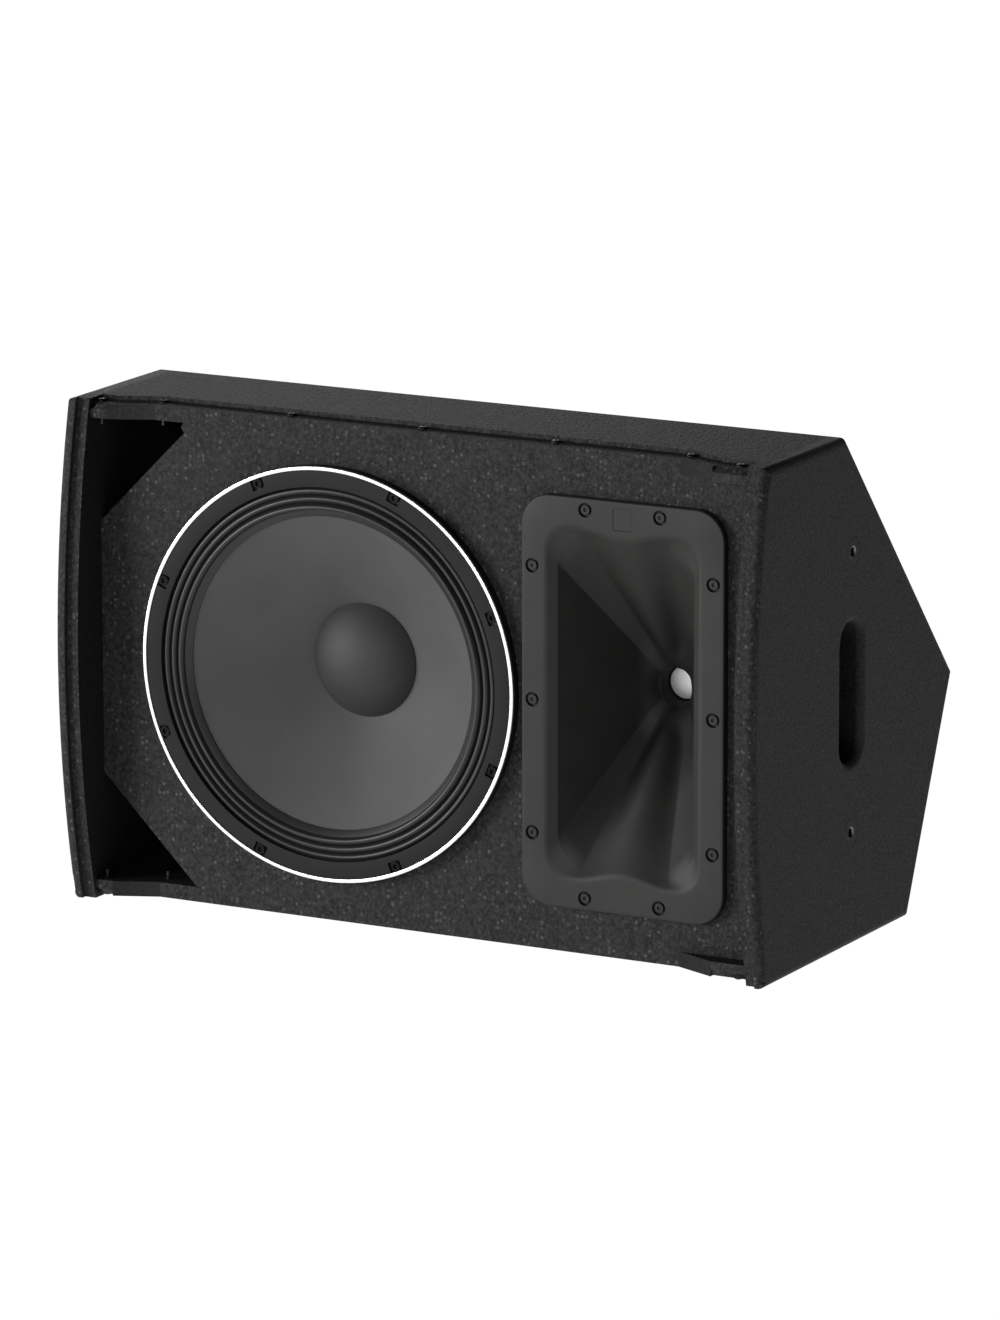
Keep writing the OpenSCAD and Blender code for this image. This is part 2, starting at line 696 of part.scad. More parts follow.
// Points in the woofer's own frame: across, down, back
lead_route = [[9, 181.3, 50], [10, 176, 55], [12, 150, 60], [13, 112, 64], [12, 88, 60], [10, 74, 62.5]];
// Points in the cabinet's frame
woofer_cable_route = [
    [262, 176, 34], [264, 160, 36], [272, 120, 38], [270, 96, 44], [267, 82, 52], [265.5, 76, 57]
];
driver_cable_route = [
    [424, 200, 34], [438, 200, 42], [459, 200, 74], [490, 204, 104], [520, 212, 126],
    [545, 212, 144], [562, 200, 158], [567.5, 186, 164]
];
input_cable_route = [
    [330, 262, 130], [328, 254, 122], [326, 250, 100], [326, 248, 70], [330, 246, 48], [334, 236, 40]
];

module tinsel_leads() color("peru") cab() woofer() for (s = [-1, 1])
    tube([for (p = curve(lead_route, 4)) [s * p[0], p[1], p[2]]], lead_r);

module internal_cables() color("darkred") cab() {
    tube(curve(woofer_cable_route, 4), cable_r);
    tube(curve(driver_cable_route, 4), cable_r);
    tube(curve(input_cable_route, 4), cable_r);
}

// ---- Horn: every depth is measured back from its plate's front ----
horn_y = baffle_y - horn_t;
module horn_frame() into_front(horn_x, mid_z, horn_y) children();

side_n = 4;
arc_n = 5;
wave_n = 6;
// One quarter of the mouth's edge: straight side, round corner, then the wave between two lobes
mouth_quarter = concat(
    [for (i = [0:side_n - 1]) [mouth_x, (mouth_z - mouth_corner_r) * i / side_n]],
    [for (i = [0:arc_n - 1]) let (a = 90 * i / arc_n) [
        mouth_x - mouth_corner_r * (1 - cos(a)), mouth_z - mouth_corner_r * (1 - sin(a))
    ]],
    [for (i = [0:wave_n]) let (f = i / wave_n) [
        (mouth_x - mouth_corner_r) * (1 - f), mouth_z - mouth_dip * (1 - cos(180 * f)) / 2
    ]]
);
quarter_n = len(mouth_quarter) - 1;
mouth_edge = concat(
    [for (i = [0:quarter_n - 1]) mouth_quarter[i]],
    [for (i = [quarter_n:-1:1]) [-mouth_quarter[i][0], mouth_quarter[i][1]]],
    [for (i = [0:quarter_n - 1]) -mouth_quarter[i]],
    [for (i = [quarter_n:-1:1]) [mouth_quarter[i][0], -mouth_quarter[i][1]]]
);
edge_n = len(mouth_edge);

// The flare's section at a fraction f of its depth, grown outwards by a wall
function flare_section(f, wall) = [
    for (i = [0:edge_n - 1])
        let (
            a = 360 * i / edge_n,
            p = (1 - pow(f, 0.94)) * mouth_edge[i] + pow(f, 0.94) * throat_r * [cos(a), sin(a)]
        )
        p + wall * unit(p)
];

flare_rings = 9;
// The solid that fills the flare, grown by a wall, with flat ends at front and back
module flare(wall, front, back) {
    depth = [for (k = [0:flare_rings]) k == 0 ? front : k == flare_rings ? back : flare_depth * k / flare_rings];
    sections = [
        for (k = [0:flare_rings]) for (p = flare_section(k / flare_rings, wall)) [p[0], p[1], depth[k]]
    ];
    front_hub = len(sections);
    last = flare_rings * edge_n;
    walls = [
        for (k = [0:flare_rings - 1], i = [0:edge_n - 1])
            let (a = k * edge_n + i, b = k * edge_n + (i + 1) % edge_n)
            each [[b, a, b + edge_n], [b + edge_n, a, a + edge_n]]
    ];
    ends = [
        for (i = [0:edge_n - 1]) let (j = (i + 1) % edge_n)
            each [[i, j, front_hub], [last + j, last + i, front_hub + 1]]
    ];
    polyhedron(concat(sections, [[0, 0, front], [0, 0, back]]), concat(walls, ends));
}

throat_flange_r = 60;
throat_flange_t = 8;
driver_bolt_r = 50.8;
module driver_bolt_places() for (i = [0:3]) rotate([0, 0, 45 + 90 * i]) translate([driver_bolt_r, 0, 0]) children();

module horn() color([0.24, 0.24, 0.235]) cab() horn_frame() difference() {
    union() {
        round_plate(horn_w, horn_h, horn_corner_r, 0, horn_t);
        flare(flare_wall, horn_t / 2, flare_depth);
        translate([0, 0, flare_depth - throat_flange_t]) cylinder(r = throat_flange_r, h = throat_flange_t);
    }
    flare(0, -1, flare_depth + 0.5);
    horn_screw_places() translate([0, 0, -1]) cylinder(r = 2.6, h = horn_t + 2);
    horn_screw_places() translate([0, 0, -1]) cylinder(r = 5.6, h = 3.6);
    round_plate_at_badge(-1, 1);
    driver_bolt_places() translate([0, 0, flare_depth - throat_flange_t - 1]) cylinder(r = 3.3, h = 12);
}

badge_w = 19;
badge_h = 20;
badge_z = 173;
module round_plate_at_badge(z0, z1) translate([0, -badge_z, 0]) round_plate(badge_w, badge_h, 1.5, z0, z1);

module horn_badge() color([0.3, 0.3, 0.3]) cab() horn_frame() translate([0, -badge_z, 0])
    round_plate(badge_w - 0.4, badge_h - 0.4, 1.3, 0.3, 1);

module horn_screws() color([0.35, 0.35, 0.35]) cab() horn_frame() horn_screw_places() {
    difference() {
        translate([0, 0, 0.4]) cylinder(r = 4.4, h = 2.2);
        translate([0, 0, 0]) cylinder(r = 1.9, h = 1.8, $fn = 6);
    }
    translate([0, 0, 2.6 - eps]) cylinder(r = 2, h = 20);
}

// ---- Compression driver: every depth is measured back from its front plate ----
module driver() into_front(horn_x, mid_z, horn_y + flare_depth) children();

driver_r = 62;
driver_plate_t = 10;
driver_magnet_t = 18;
driver_rear_d = 2 * driver_plate_t + driver_magnet_t;
driver_pole_r = 36.4;
driver_coil = [37.1, 37.9];
driver_gap_r = 38.4;
driver_rest_d = driver_rear_d + 1.2;

module driver_yoke() color(steel) cab() driver() difference() {
    union() {
        cylinder(r = driver_r, h = driver_plate_t);
        translate([0, 0, driver_plate_t - eps]) cylinder(r = driver_pole_r, h = driver_magnet_t + driver_plate_t);
    }
    translate([0, 0, -1]) cylinder(r = 18, h = 21);
    translate([0, 0, 19.9]) cylinder(r1 = 18, r2 = 30, h = 20);
    driver_bolt_places() translate([0, 0, -1]) cylinder(r = 3, h = driver_plate_t - 1);
}

module driver_magnet() color(ferrite) cab() driver()
    ring(44, 68, driver_plate_t, driver_plate_t + driver_magnet_t);
module driver_top_plate() color(steel) cab() driver()
    ring(driver_gap_r, driver_r, driver_plate_t + driver_magnet_t, driver_rear_d);

plug_r = 15.4;      // of the plug's nose, inside its sleeve
plug_rear_r = 26.8;
plug_nose_sphere_r = 60;
plug_nose_d = 14;   // depth of the nose's centre
plug_cone_d = 20;   // depth where the plug widens
// Cone-shaped plug with a domed nose in a sleeve, and two open rings at its back
module phase_plug() color([0.85, 0.86, 0.88]) cab() driver() difference() {
    union() {
        intersection() {
            translate([0, 0, plug_nose_d]) cylinder(r = plug_r, h = plug_cone_d - plug_nose_d);
            translate([0, 0, plug_nose_d + plug_nose_sphere_r]) sphere(plug_nose_sphere_r);
        }
        translate([0, 0, plug_cone_d - eps]) cylinder(r1 = plug_r, r2 = plug_rear_r, h = 16);
        for (a = [0:60:300]) rotate([0, 0, a])
            translate([plug_r - 1, -0.8, plug_nose_d + 2.5]) cube([3, 1.6, 3]);
        ring(16.9, 17.9, 1, plug_cone_d);
    }
    for (r = [10, 16]) ring(r, r + 1.2, 30, 40);
}

dome_r = driver_coil[0];
dome_rise = 12;
dome_sphere_r = (dome_r * dome_r + dome_rise * dome_rise) / (2 * dome_rise);

module driver_diaphragm() color([0.7, 0.72, 0.75]) cab() driver() {
    difference() {
        translate([0, 0, driver_rest_d + dome_rise - dome_sphere_r]) sphere(dome_sphere_r, $fn = 96);
        translate([0, 0, driver_rest_d + dome_rise - dome_sphere_r]) sphere(dome_sphere_r - 0.5, $fn = 96);
        translate([0, 0, driver_rest_d - 200]) cylinder(r = 100, h = 200);
    }
    ring(dome_r - 0.6, 41, driver_rest_d, driver_rest_d + 0.5);
}

module driver_coil() color("peru") cab() driver()
    ring(driver_coil[0], driver_coil[1], driver_rest_d - 9, driver_rest_d);

module driver_rear_cover() color(black_plastic) cab() driver() difference() {
    union() {
        translate([0, 0, driver_rear_d]) cylinder(r = 56, h = 26);
        translate([0, 0, driver_rear_d + 26 - eps]) cylinder(r1 = 56, r2 = 48, h = 6);
    }
    translate([0, 0, driver_rear_d - 1]) cylinder(r = 44, h = 25);
    for (a = [0:90:270]) rotate([0, 0, a]) translate([50, 0, driver_rear_d - 1]) cylinder(r = 2.2, h = 40);
}

module driver_bolts() color("silver") cab() driver() driver_bolt_places() {
    difference() {
        translate([0, 0, -throat_flange_t - 6]) cylinder(r = 5, h = 6);
        translate([0, 0, -throat_flange_t - 7]) cylinder(r = 2.8, h = 4, $fn = 6);
    }
    translate([0, 0, -throat_flange_t - eps]) cylinder(r = bolt_r, h = throat_flange_t + 7);
}

// Two tabs on a small block under the rear cover's rim
module driver_terminals() color("firebrick") cab() driver() {
    translate([-12, 56.2, driver_rear_d + 2]) cube([24, 4, 12]);
    for (x = [-7, 7]) translate([x - 2.4, 60.2, driver_rear_d + 4]) cube([4.8, 0.9, 8]);
}

// ---- Connector dish on the lower back panel: heights are above the panel's outer face ----
module dish_frame() on_lower_back(dish_x, 0) children();
socket_x = [-38, 38];
rim_t = 2.5;
floor_top = -dish_depth + dish_wall;

module dish_screw_places() dish_frame() for (x = [-76, 0, 76], y = [-43, 43]) translate([x, y, 0]) children();

module input_dish() color(black_plastic) cab() difference() {
    dish_frame() difference() {
        union() {
            round_plate(dish_w, dish_h, 10, 0, rim_t);
            round_plate(pocket_w - 1, pocket_h - 1, 7.5, -dish_depth, rim_t / 2);
        }
        round_plate(pocket_w - 6, pocket_h - 6, 6, floor_top, rim_t + 1);
        for (x = socket_x) translate([x, 0, -dish_depth - 1]) cylinder(r = 12.1, h = 10);
        for (x = socket_x, s = [-1, 1]) translate([x + s * 9.5, s * 12, -dish_depth - 1]) cylinder(r = 1.4, h = 10);
        translate([-7, -2.4, -dish_depth - 1]) cube([14, 4.8, 10]);
    }
    dish_screw_places() translate([0, 0, -1]) cylinder(r = 2.2, h = 10);
}

module input_dish_screws() color([0.3, 0.3, 0.3]) cab() dish_screw_places() {
    difference() {
        translate([0, 0, rim_t]) cylinder(r1 = 4, r2 = 2.8, h = 1.8);
        translate([0, 0, rim_t + 0.7]) cylinder(r = 1.6, h = 3, $fn = 6);
    }
    translate([0, 0, -12]) cylinder(r = 1.55, h = 12 + rim_t + eps);
}

module speaker_sockets() color([0.1, 0.1, 0.13]) cab() dish_frame() for (x = socket_x) translate([x, 0, floor_top]) {
    difference() {
        union() {
            round_plate(26, 31, 3, 0, 2);
            cylinder(r = 12.6, h = 3.2);
            translate([0, 0, -24]) cylinder(r = 12, h = 24 + eps);
        }
        translate([0, 0, -19]) cylinder(r = 10.2, h = 30);
    }
    translate([0, 0, -19 - eps]) difference() {
        cylinder(r = 6.2, h = 20);
        for (a = [0:90:270]) rotate([0, 0, a]) translate([4.4, -1.2, 4]) cube([3, 2.4, 20]);
    }
}

module socket_tabs() color(brass) cab() dish_frame() for (x = socket_x, a = [45:90:315])
    translate([x, 0, floor_top - 24]) rotate([0, 0, a]) translate([7, -2.4, -7]) cube([0.9, 4.8, 7]);

switch_base = floor_top - dish_wall;

module mode_switch_body() color([0.2, 0.2, 0.2]) cab() dish_frame() difference() {
    translate([-13, -5, switch_base - 9]) cube([26, 10, 9]);
    translate([-6.2, -2.2, switch_base - 6]) cube([12.4, 4.4, 7]);
}

module mode_switch_lever() color("white") cab() dish_frame()
    translate([-switch_travel / 2 - 2, -2, switch_base - 5.7]) cube([4, 4, 11.5]);

// ---- Crossover on the bottom panel ----
board_x = [250, 430];
board_y = [134, 240];
board_z = panel_t + 10;
board_t = 1.6;
deck_z = board_z + board_t;

module board_corners() for (x = [board_x[0] + 8, board_x[1] - 8], y = [board_y[0] + 8, board_y[1] - 8])
    translate([x, y, 0]) children();

module crossover_board() color("darkgreen") cab() difference() {
    translate([board_x[0], board_y[0], board_z]) cube([board_x[1] - board_x[0], board_y[1] - board_y[0], board_t]);
    board_corners() translate([0, 0, board_z - 1]) cylinder(r = 1.7, h = 10);
}

module crossover_standoffs() color(steel) cab() board_corners() {
    translate([0, 0, panel_t]) cylinder(r = 4, h = board_z - panel_t);
    translate([0, 0, board_z - eps]) cylinder(r = 1.65, h = board_t + 0.5);
    translate([0, 0, deck_z]) cylinder(r = 3, h = 2);
}

inductors = [[300, 210, 24], [350, 212, 20], [400, 214, 17]];

module crossover_inductors() color("peru") cab() for (p = inductors)
    translate([p[0], p[1], deck_z]) ring(p[2] * 0.45, p[2], 0, 20);

module crossover_capacitors() color("royalblue") cab() for (i = [0:3])
    translate([290 + 26 * i, 156, deck_z + 9]) rotate([90, 0, 0]) translate([0, 0, -15]) cylinder(r = 9, h = 30);

module crossover_resistors() color("white") cab() for (i = [0:2])
    translate([386 + 11 * i, 142, deck_z]) cube([9, 42, 9]);

end_panel_right();
end_panel_left();
top_panel();
bottom_panel();
upper_back_panel();
lower_back_panel();
front_baffle();
port_board_upper();
port_board_lower();
baffle_cleats();
cabinet_brace();
acoustic_lining();
handle_cup_right();
handle_cup_left();
handle_screws();
fly_point_inserts();
rubber_feet();
grille_screws_top();
grille_screws_bottom();
woofer_trim_ring();
woofer_gasket_ring();
woofer_basket();
woofer_screws();
woofer_tee_nuts();
woofer_surround();
woofer_cone();
woofer_dust_cap();
woofer_spider();
voice_coil_former();
voice_coil_winding();
woofer_top_plate();
woofer_magnet();
woofer_yoke();
woofer_terminal_block();
woofer_terminal_tabs();
tinsel_leads();
horn();
horn_screws();
horn_badge();
driver_yoke();
driver_magnet();
driver_top_plate();
phase_plug();
driver_diaphragm();
driver_coil();
driver_rear_cover();
driver_bolts();
driver_terminals();
input_dish();
input_dish_screws();
speaker_sockets();
socket_tabs();
mode_switch_body();
mode_switch_lever();
crossover_board();
crossover_standoffs();
crossover_inductors();
crossover_capacitors();
crossover_resistors();
internal_cables();
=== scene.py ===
"""Looks of the two-way loudspeaker cabinet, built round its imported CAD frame.

Metres, +X from the woofer end to the horn end, -Y the way the drivers face, +Z up.
"""

import json
import math

import bmesh
import bpy
from mathutils import Matrix, Vector

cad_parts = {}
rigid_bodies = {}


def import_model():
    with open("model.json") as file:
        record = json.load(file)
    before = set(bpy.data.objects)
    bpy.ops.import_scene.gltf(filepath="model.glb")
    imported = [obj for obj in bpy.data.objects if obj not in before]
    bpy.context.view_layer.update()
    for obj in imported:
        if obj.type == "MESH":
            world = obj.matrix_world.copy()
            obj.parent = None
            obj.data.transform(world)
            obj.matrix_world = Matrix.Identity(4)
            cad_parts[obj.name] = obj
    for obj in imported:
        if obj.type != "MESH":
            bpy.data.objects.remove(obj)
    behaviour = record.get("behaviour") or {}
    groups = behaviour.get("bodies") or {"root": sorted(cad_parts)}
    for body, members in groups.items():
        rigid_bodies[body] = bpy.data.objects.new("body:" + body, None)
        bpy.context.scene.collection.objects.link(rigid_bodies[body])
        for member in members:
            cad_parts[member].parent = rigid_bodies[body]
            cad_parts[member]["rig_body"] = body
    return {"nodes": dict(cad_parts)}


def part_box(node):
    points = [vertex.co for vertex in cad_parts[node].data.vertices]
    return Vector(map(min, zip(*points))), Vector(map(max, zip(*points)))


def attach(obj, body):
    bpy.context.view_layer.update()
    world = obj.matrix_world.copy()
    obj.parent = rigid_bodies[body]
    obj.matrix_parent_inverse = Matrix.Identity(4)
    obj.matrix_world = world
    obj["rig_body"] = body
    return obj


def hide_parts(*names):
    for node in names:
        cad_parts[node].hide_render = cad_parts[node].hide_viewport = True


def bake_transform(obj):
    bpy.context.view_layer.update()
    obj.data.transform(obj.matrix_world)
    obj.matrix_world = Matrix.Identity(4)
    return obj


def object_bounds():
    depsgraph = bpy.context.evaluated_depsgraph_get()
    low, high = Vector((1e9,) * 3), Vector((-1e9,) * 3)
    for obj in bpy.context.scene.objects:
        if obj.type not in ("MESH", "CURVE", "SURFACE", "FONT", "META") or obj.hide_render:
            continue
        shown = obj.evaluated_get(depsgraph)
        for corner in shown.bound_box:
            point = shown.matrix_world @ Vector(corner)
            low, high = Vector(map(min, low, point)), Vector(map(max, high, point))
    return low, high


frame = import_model()
bpy.context.view_layer.update()
cad_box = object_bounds()
MM = 0.001

# ---- Places taken from the frame ----
RING_LO, RING_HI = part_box("woofer_trim_ring")
WOOFER = Vector(((RING_LO.x + RING_HI.x) / 2, RING_LO.y, (RING_LO.z + RING_HI.z) / 2))
PLATE_LO, PLATE_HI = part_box("horn")
HORN = Vector(((PLATE_LO.x + PLATE_HI.x) / 2, PLATE_LO.y, (PLATE_LO.z + PLATE_HI.z) / 2))
BAFFLE_LO, BAFFLE_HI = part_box("front_baffle")
END_INNER_X, END_OUTER_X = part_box("end_panel_right")[0].x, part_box("end_panel_right")[1].x
SLOT_LO, SLOT_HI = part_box("handle_cup_right")
TOP_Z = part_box("top_panel")[1].z

# ---- Camera ----
CAMERA_AT = Vector((3.5125, -6.5323, 1.8974))
CAMERA_AIM = Vector((0.0282, -0.0617, 0.2428))
CAMERA_ROLL = math.radians(-0.087)
LENS = 224.55


def make_camera():
    data = bpy.data.cameras.new("camera")
    data.lens = LENS
    data.sensor_width = 36
    data.clip_start, data.clip_end = 0.1, 200
    camera = bpy.data.objects.new("camera", data)
    bpy.context.scene.collection.objects.link(camera)
    camera.location = CAMERA_AT
    turn = (CAMERA_AIM - CAMERA_AT).to_track_quat("-Z", "Y").to_matrix()
    camera.rotation_euler = (turn @ Matrix.Rotation(CAMERA_ROLL, 3, "Z")).to_euler()
    bpy.context.scene.camera = camera


make_camera()
bpy.context.scene.view_settings.view_transform = "Standard"


# ---- Material building ----
class Paint:
    """A material with one Principled shader, and short calls for the nodes that feed it."""

    def __init__(self, name, colour, rough, metal=0.0, specular=0.5):
        self.material = bpy.data.materials.new(name)
        self.material.use_nodes = True
        self.tree = self.material.node_tree
        self.tree.nodes.clear()
        self.shader = self.tree.nodes.new("ShaderNodeBsdfPrincipled")
        out = self.tree.nodes.new("ShaderNodeOutputMaterial")
        self.tree.links.new(self.shader.outputs[0], out.inputs[0])
        self.shader.inputs["Base Color"].default_value = (*colour, 1)
        self.shader.inputs["Roughness"].default_value = rough
        self.shader.inputs["Metallic"].default_value = metal
        self.shader.inputs["Specular IOR Level"].default_value = specular
        self.place = self.tree.nodes.new("ShaderNodeTexCoord").outputs["Object"]
        self.normal = None

    def node(self, kind, inputs=None, **settings):
        made = self.tree.nodes.new(kind)
        for key, value in settings.items():
            setattr(made, key, value)
        for key, value in (inputs or {}).items():
            if isinstance(value, bpy.types.NodeSocket):
                self.tree.links.new(value, made.inputs[key])
            else:
                made.inputs[key].default_value = value
        return made

    def noise(self, size, detail=2.0, rough=0.5, stretch=None):
        """Noise between 0 and 1 whose blobs are about size metres across."""
        place = self.place
        if stretch:
            place = self.node("ShaderNodeMapping", {"Vector": place, "Scale": stretch}).outputs[0]
        made = self.node(
            "ShaderNodeTexNoise",
            {"Vector": place, "Scale": 1 / size, "Detail": detail, "Roughness": rough},
        )
        return made.outputs[0]

    def cells(self, size, feature="F1"):
        """Voronoi cells about size metres across: (distance from the middle, random colour)."""
        made = self.node(
            "ShaderNodeTexVoronoi", {"Vector": self.place, "Scale": 1 / size}, feature=feature
        )
        return made.outputs[0], made.outputs[1]

    def ramp(self, value, low, high, to_low=0.0, to_high=1.0):
        made = self.node(
            "ShaderNodeMapRange",
            {"Value": value, "From Min": low, "From Max": high, "To Min": to_low, "To Max": to_high},
        )
        return made.outputs[0]

    def math(self, kind, a, b=0.0):
        return self.node("ShaderNodeMath", {0: a, 1: b}, operation=kind).outputs[0]

    def mix(self, share, a, b):
        made = self.tree.nodes.new("ShaderNodeMix")
        made.data_type = "RGBA"
        self.tree.links.new(share, made.inputs[0])
        for index, value in ((6, a), (7, b)):
            if isinstance(value, bpy.types.NodeSocket):
                self.tree.links.new(value, made.inputs[index])
            else:
                made.inputs[index].default_value = (*value, 1)
        return made.outputs[2]

    def colour(self, socket):
        self.tree.links.new(socket, self.shader.inputs["Base Color"])

    def rough(self, socket):
        self.tree.links.new(socket, self.shader.inputs["Roughness"])

    def bump(self, height, depth, strength=1.0):
        """Raises the surface by depth metres where height is 1."""
        inputs = {"Height": height, "Distance": depth, "Strength": strength}
        if self.normal:
            inputs["Normal"] = self.normal
        self.normal = self.node("ShaderNodeBump", inputs).outputs[0]
        self.tree.links.new(self.normal, self.shader.inputs["Normal"])


def coat(name, tone, grain, relief, flecks, sparkle, spread=1.0, rough=0.72):
    """Sprayed, textured coat: beads of size grain, relief high, a share of them lighter."""
    dark, light = [tone * (1 - 0.65 * spread)] * 3, [tone * (1 + 1.3 * spread)] * 3
    p = Paint(name, dark, rough, specular=0.25)
    beads = p.noise(grain, 2, 0.55)
    fine = p.noise(grain * 0.45, 2)
    broad = p.noise(grain * 9, 3, 0.6)
    distance, tint = p.cells(grain * 1.2)
    pick = p.node("ShaderNodeSeparateColor", {0: tint}).outputs[0]
    spot = p.ramp(distance, 0.48, 0.16)
    fleck = p.math("MULTIPLY", p.ramp(pick, 1 - flecks, 1.0), spot)
    ground = p.mix(p.ramp(beads, 0.38, 0.62), dark, light)
    ground = p.mix(p.ramp(broad, 0.35, 0.7, 0.0, 0.35), ground, light)
    p.colour(p.mix(fleck, ground, [tone * sparkle] * 3))
    p.rough(p.ramp(fine, 0.3, 0.7, rough - 0.1, rough + 0.12))
    height = p.math("ADD", beads, p.math("MULTIPLY", fine, 0.4))
    p.bump(p.math("ADD", height, p.math("MULTIPLY", fleck, 0.5)), relief)
    return p.material


def moulded(name, colour, rough, grain=0.0006, relief=0.00003, specular=0.5):
    """Moulded plastic or rubber with a fine spark-eroded grain and faint cloudiness."""
    p = Paint(name, colour, rough, specular=specular)
    cloud = p.noise(0.03, 2)
    p.colour(p.mix(p.ramp(cloud, 0.3, 0.7), [c * 0.9 for c in colour], [c * 1.12 for c in colour]))
    fine = p.noise(grain, 2)
    p.rough(p.ramp(fine, 0.3, 0.7, rough - 0.04, rough + 0.05))
    p.bump(fine, relief)
    return p.material


def metal(name, colour, rough, streak=(1, 1, 1), size=0.002, relief=0.00001):
    """Plated, machined or cast metal. streak stretches its marks along an axis."""
    p = Paint(name, colour, rough, metal=1.0)
    marks = p.noise(size, 3, 0.6, stretch=streak)
    p.colour(p.mix(p.ramp(marks, 0.3, 0.7), [c * 0.88 for c in colour], colour))
    p.rough(p.ramp(marks, 0.3, 0.7, rough - 0.05, rough + 0.08))
    p.bump(marks, relief)
    return p.material


def cloth(name, colour, thread, relief, sheen=0.2, rough=0.8):
    """Woven cloth, doped or not: crossed threads as two stretched noises."""
    p = Paint(name, colour, rough)
    p.shader.inputs["Sheen Weight"].default_value = sheen
    warp = p.noise(thread, 2, stretch=(1, 0.2, 1))
    weft = p.noise(thread, 2, stretch=(0.2, 1, 0.4))
    weave = p.math("MAXIMUM", warp, weft)
    p.colour(p.mix(p.ramp(weave, 0.35, 0.75), [c * 0.7 for c in colour], [c * 1.25 for c in colour]))
    p.bump(weave, relief)
    return p.material


def paper(name, colour, rough=0.62, specular=0.5):
    """Coated paper pulp: short fibres and a slightly cloudy tone."""
    p = Paint(name, colour, rough, specular=specular)
    fibre = p.noise(0.0012, 4, 0.65)
    cloud = p.noise(0.05, 2)
    tone = p.mix(p.ramp(cloud, 0.25, 0.8), [c * 0.88 for c in colour], [c * 1.1 for c in colour])
    p.colour(p.mix(p.ramp(fibre, 0.62, 0.78, 0.0, 0.35), tone, [c * 1.8 for c in colour]))
    p.rough(p.ramp(fibre, 0.3, 0.7, rough - 0.05, rough + 0.1))
    p.bump(fibre, 0.00008)
    return p.material


def plywood(name):
    """Bare birch: long pale grain with a few darker streaks."""
    p = Paint(name, (0.5, 0.34, 0.18), 0.65)
    grain = p.noise(0.004, 4, 0.6, stretch=(0.08, 1, 1))
    p.colour(p.mix(p.ramp(grain, 0.3, 0.75), (0.36, 0.22, 0.11), (0.62, 0.45, 0.27)))
    p.bump(grain, 0.00006)
    return p.material


LOOKS = {
    "coat_front": coat("coat_front", 0.0076, 0.0038, 0.0011, 0.35, 9.0),
    "coat_end": coat("coat_end", 0.0078, 0.0030, 0.0005, 0.15, 3.0, 0.6),
    # A lighter copy of the coat for the outer faces of the top, bottom and back panels: painted light.
    "coat_top": coat("coat_top", 0.0128, 0.0036, 0.0008, 0.25, 4.0, 1.0),
    # A darker copy of the coat for the ramps and the end panels' inner faces: painted shade.
    "coat_darkened_painted_shade": coat("coat_darkened_painted_shade", 0.0034, 0.0038, 0.0005, 0.0, 1.0, 0.5),
    # A near-black copy of the coat for faces inside the cabinet, its ports and the horn's throat: painted
    # shade.
    "coat_inside": coat("coat_inside", 0.0022, 0.0030, 0.0004, 0.0, 1.0, 0.5),
    "ply": plywood("ply"),
    "wadding": cloth("wadding", (0.30, 0.30, 0.31), 0.004, 0.0008, 0.6, 0.95),
    "plastic": moulded("plastic", (0.014, 0.014, 0.014), 0.42),
    "zinc": metal("zinc", (0.58, 0.58, 0.57), 0.32),
    "rubber": moulded("rubber", (0.010, 0.010, 0.010), 0.7, 0.0012, 0.00005),
    "bright": metal("bright", (0.95, 0.95, 0.95), 0.35),
    "plug_metal": metal("plug_metal", (0.95, 0.95, 0.95), 0.6),
    "gasket": moulded("gasket", (0.0040, 0.0040, 0.0040), 0.66, 0.0009, 0.00004, 0.25),
    "casting": metal("casting", (0.05, 0.05, 0.052), 0.5, (1, 1, 1), 0.0015, 0.00006),
    "surround": cloth("surround", (0.0065, 0.0065, 0.0065), 0.0011, 0.00004, 0.03, 0.42),
    "cone": paper("cone", (0.050, 0.050, 0.049)),
    "cap": paper("cap", (0.017, 0.017, 0.0166), 0.62, 0.5),
    "spider": cloth("spider", (0.55, 0.36, 0.12), 0.0014, 0.0001, 0.2, 0.8),
    "former": moulded("former", (0.50, 0.31, 0.13), 0.45),
    "copper": metal("copper", (0.72, 0.33, 0.16), 0.3, (1, 8, 1), 0.001, 0.00003),
    "iron": metal("iron", (0.42, 0.42, 0.43), 0.38),
    "ferrite": moulded("ferrite", (0.030, 0.030, 0.034), 0.75, 0.0015, 0.00006),
    "horn": moulded("horn", (0.0135, 0.0135, 0.0126), 0.56, 0.0007, 0.00002, 0.32),
    "black_screw": metal("black_screw", (0.040, 0.040, 0.040), 0.42),
    "woofer_screw": metal("woofer_screw", (0.014, 0.014, 0.014), 0.35),
    "bore": metal("bore", (0.16, 0.16, 0.16), 0.35),
    "insert": coat("insert", 0.0100, 0.0030, 0.0003, 0.10, 2.0, 0.5),
    "titanium": metal("titanium", (0.55, 0.57, 0.60), 0.3),
    "red": moulded("red", (0.35, 0.03, 0.02), 0.4),
    "brass": metal("brass", (0.78, 0.58, 0.25), 0.3),
    "socket": moulded("socket", (0.012, 0.013, 0.020), 0.35),
    "white": moulded("white", (0.72, 0.72, 0.70), 0.4),
    "board": moulded("board", (0.02, 0.13, 0.04), 0.35),
    "film": moulded("film", (0.02, 0.06, 0.32), 0.25),
    "ceramic": moulded("ceramic", (0.70, 0.67, 0.60), 0.7),
    "cable": moulded("cable", (0.012, 0.012, 0.012), 0.45),
    "braid": metal("braid", (0.70, 0.42, 0.22), 0.4, (1, 6, 1), 0.0008, 0.00005),
}


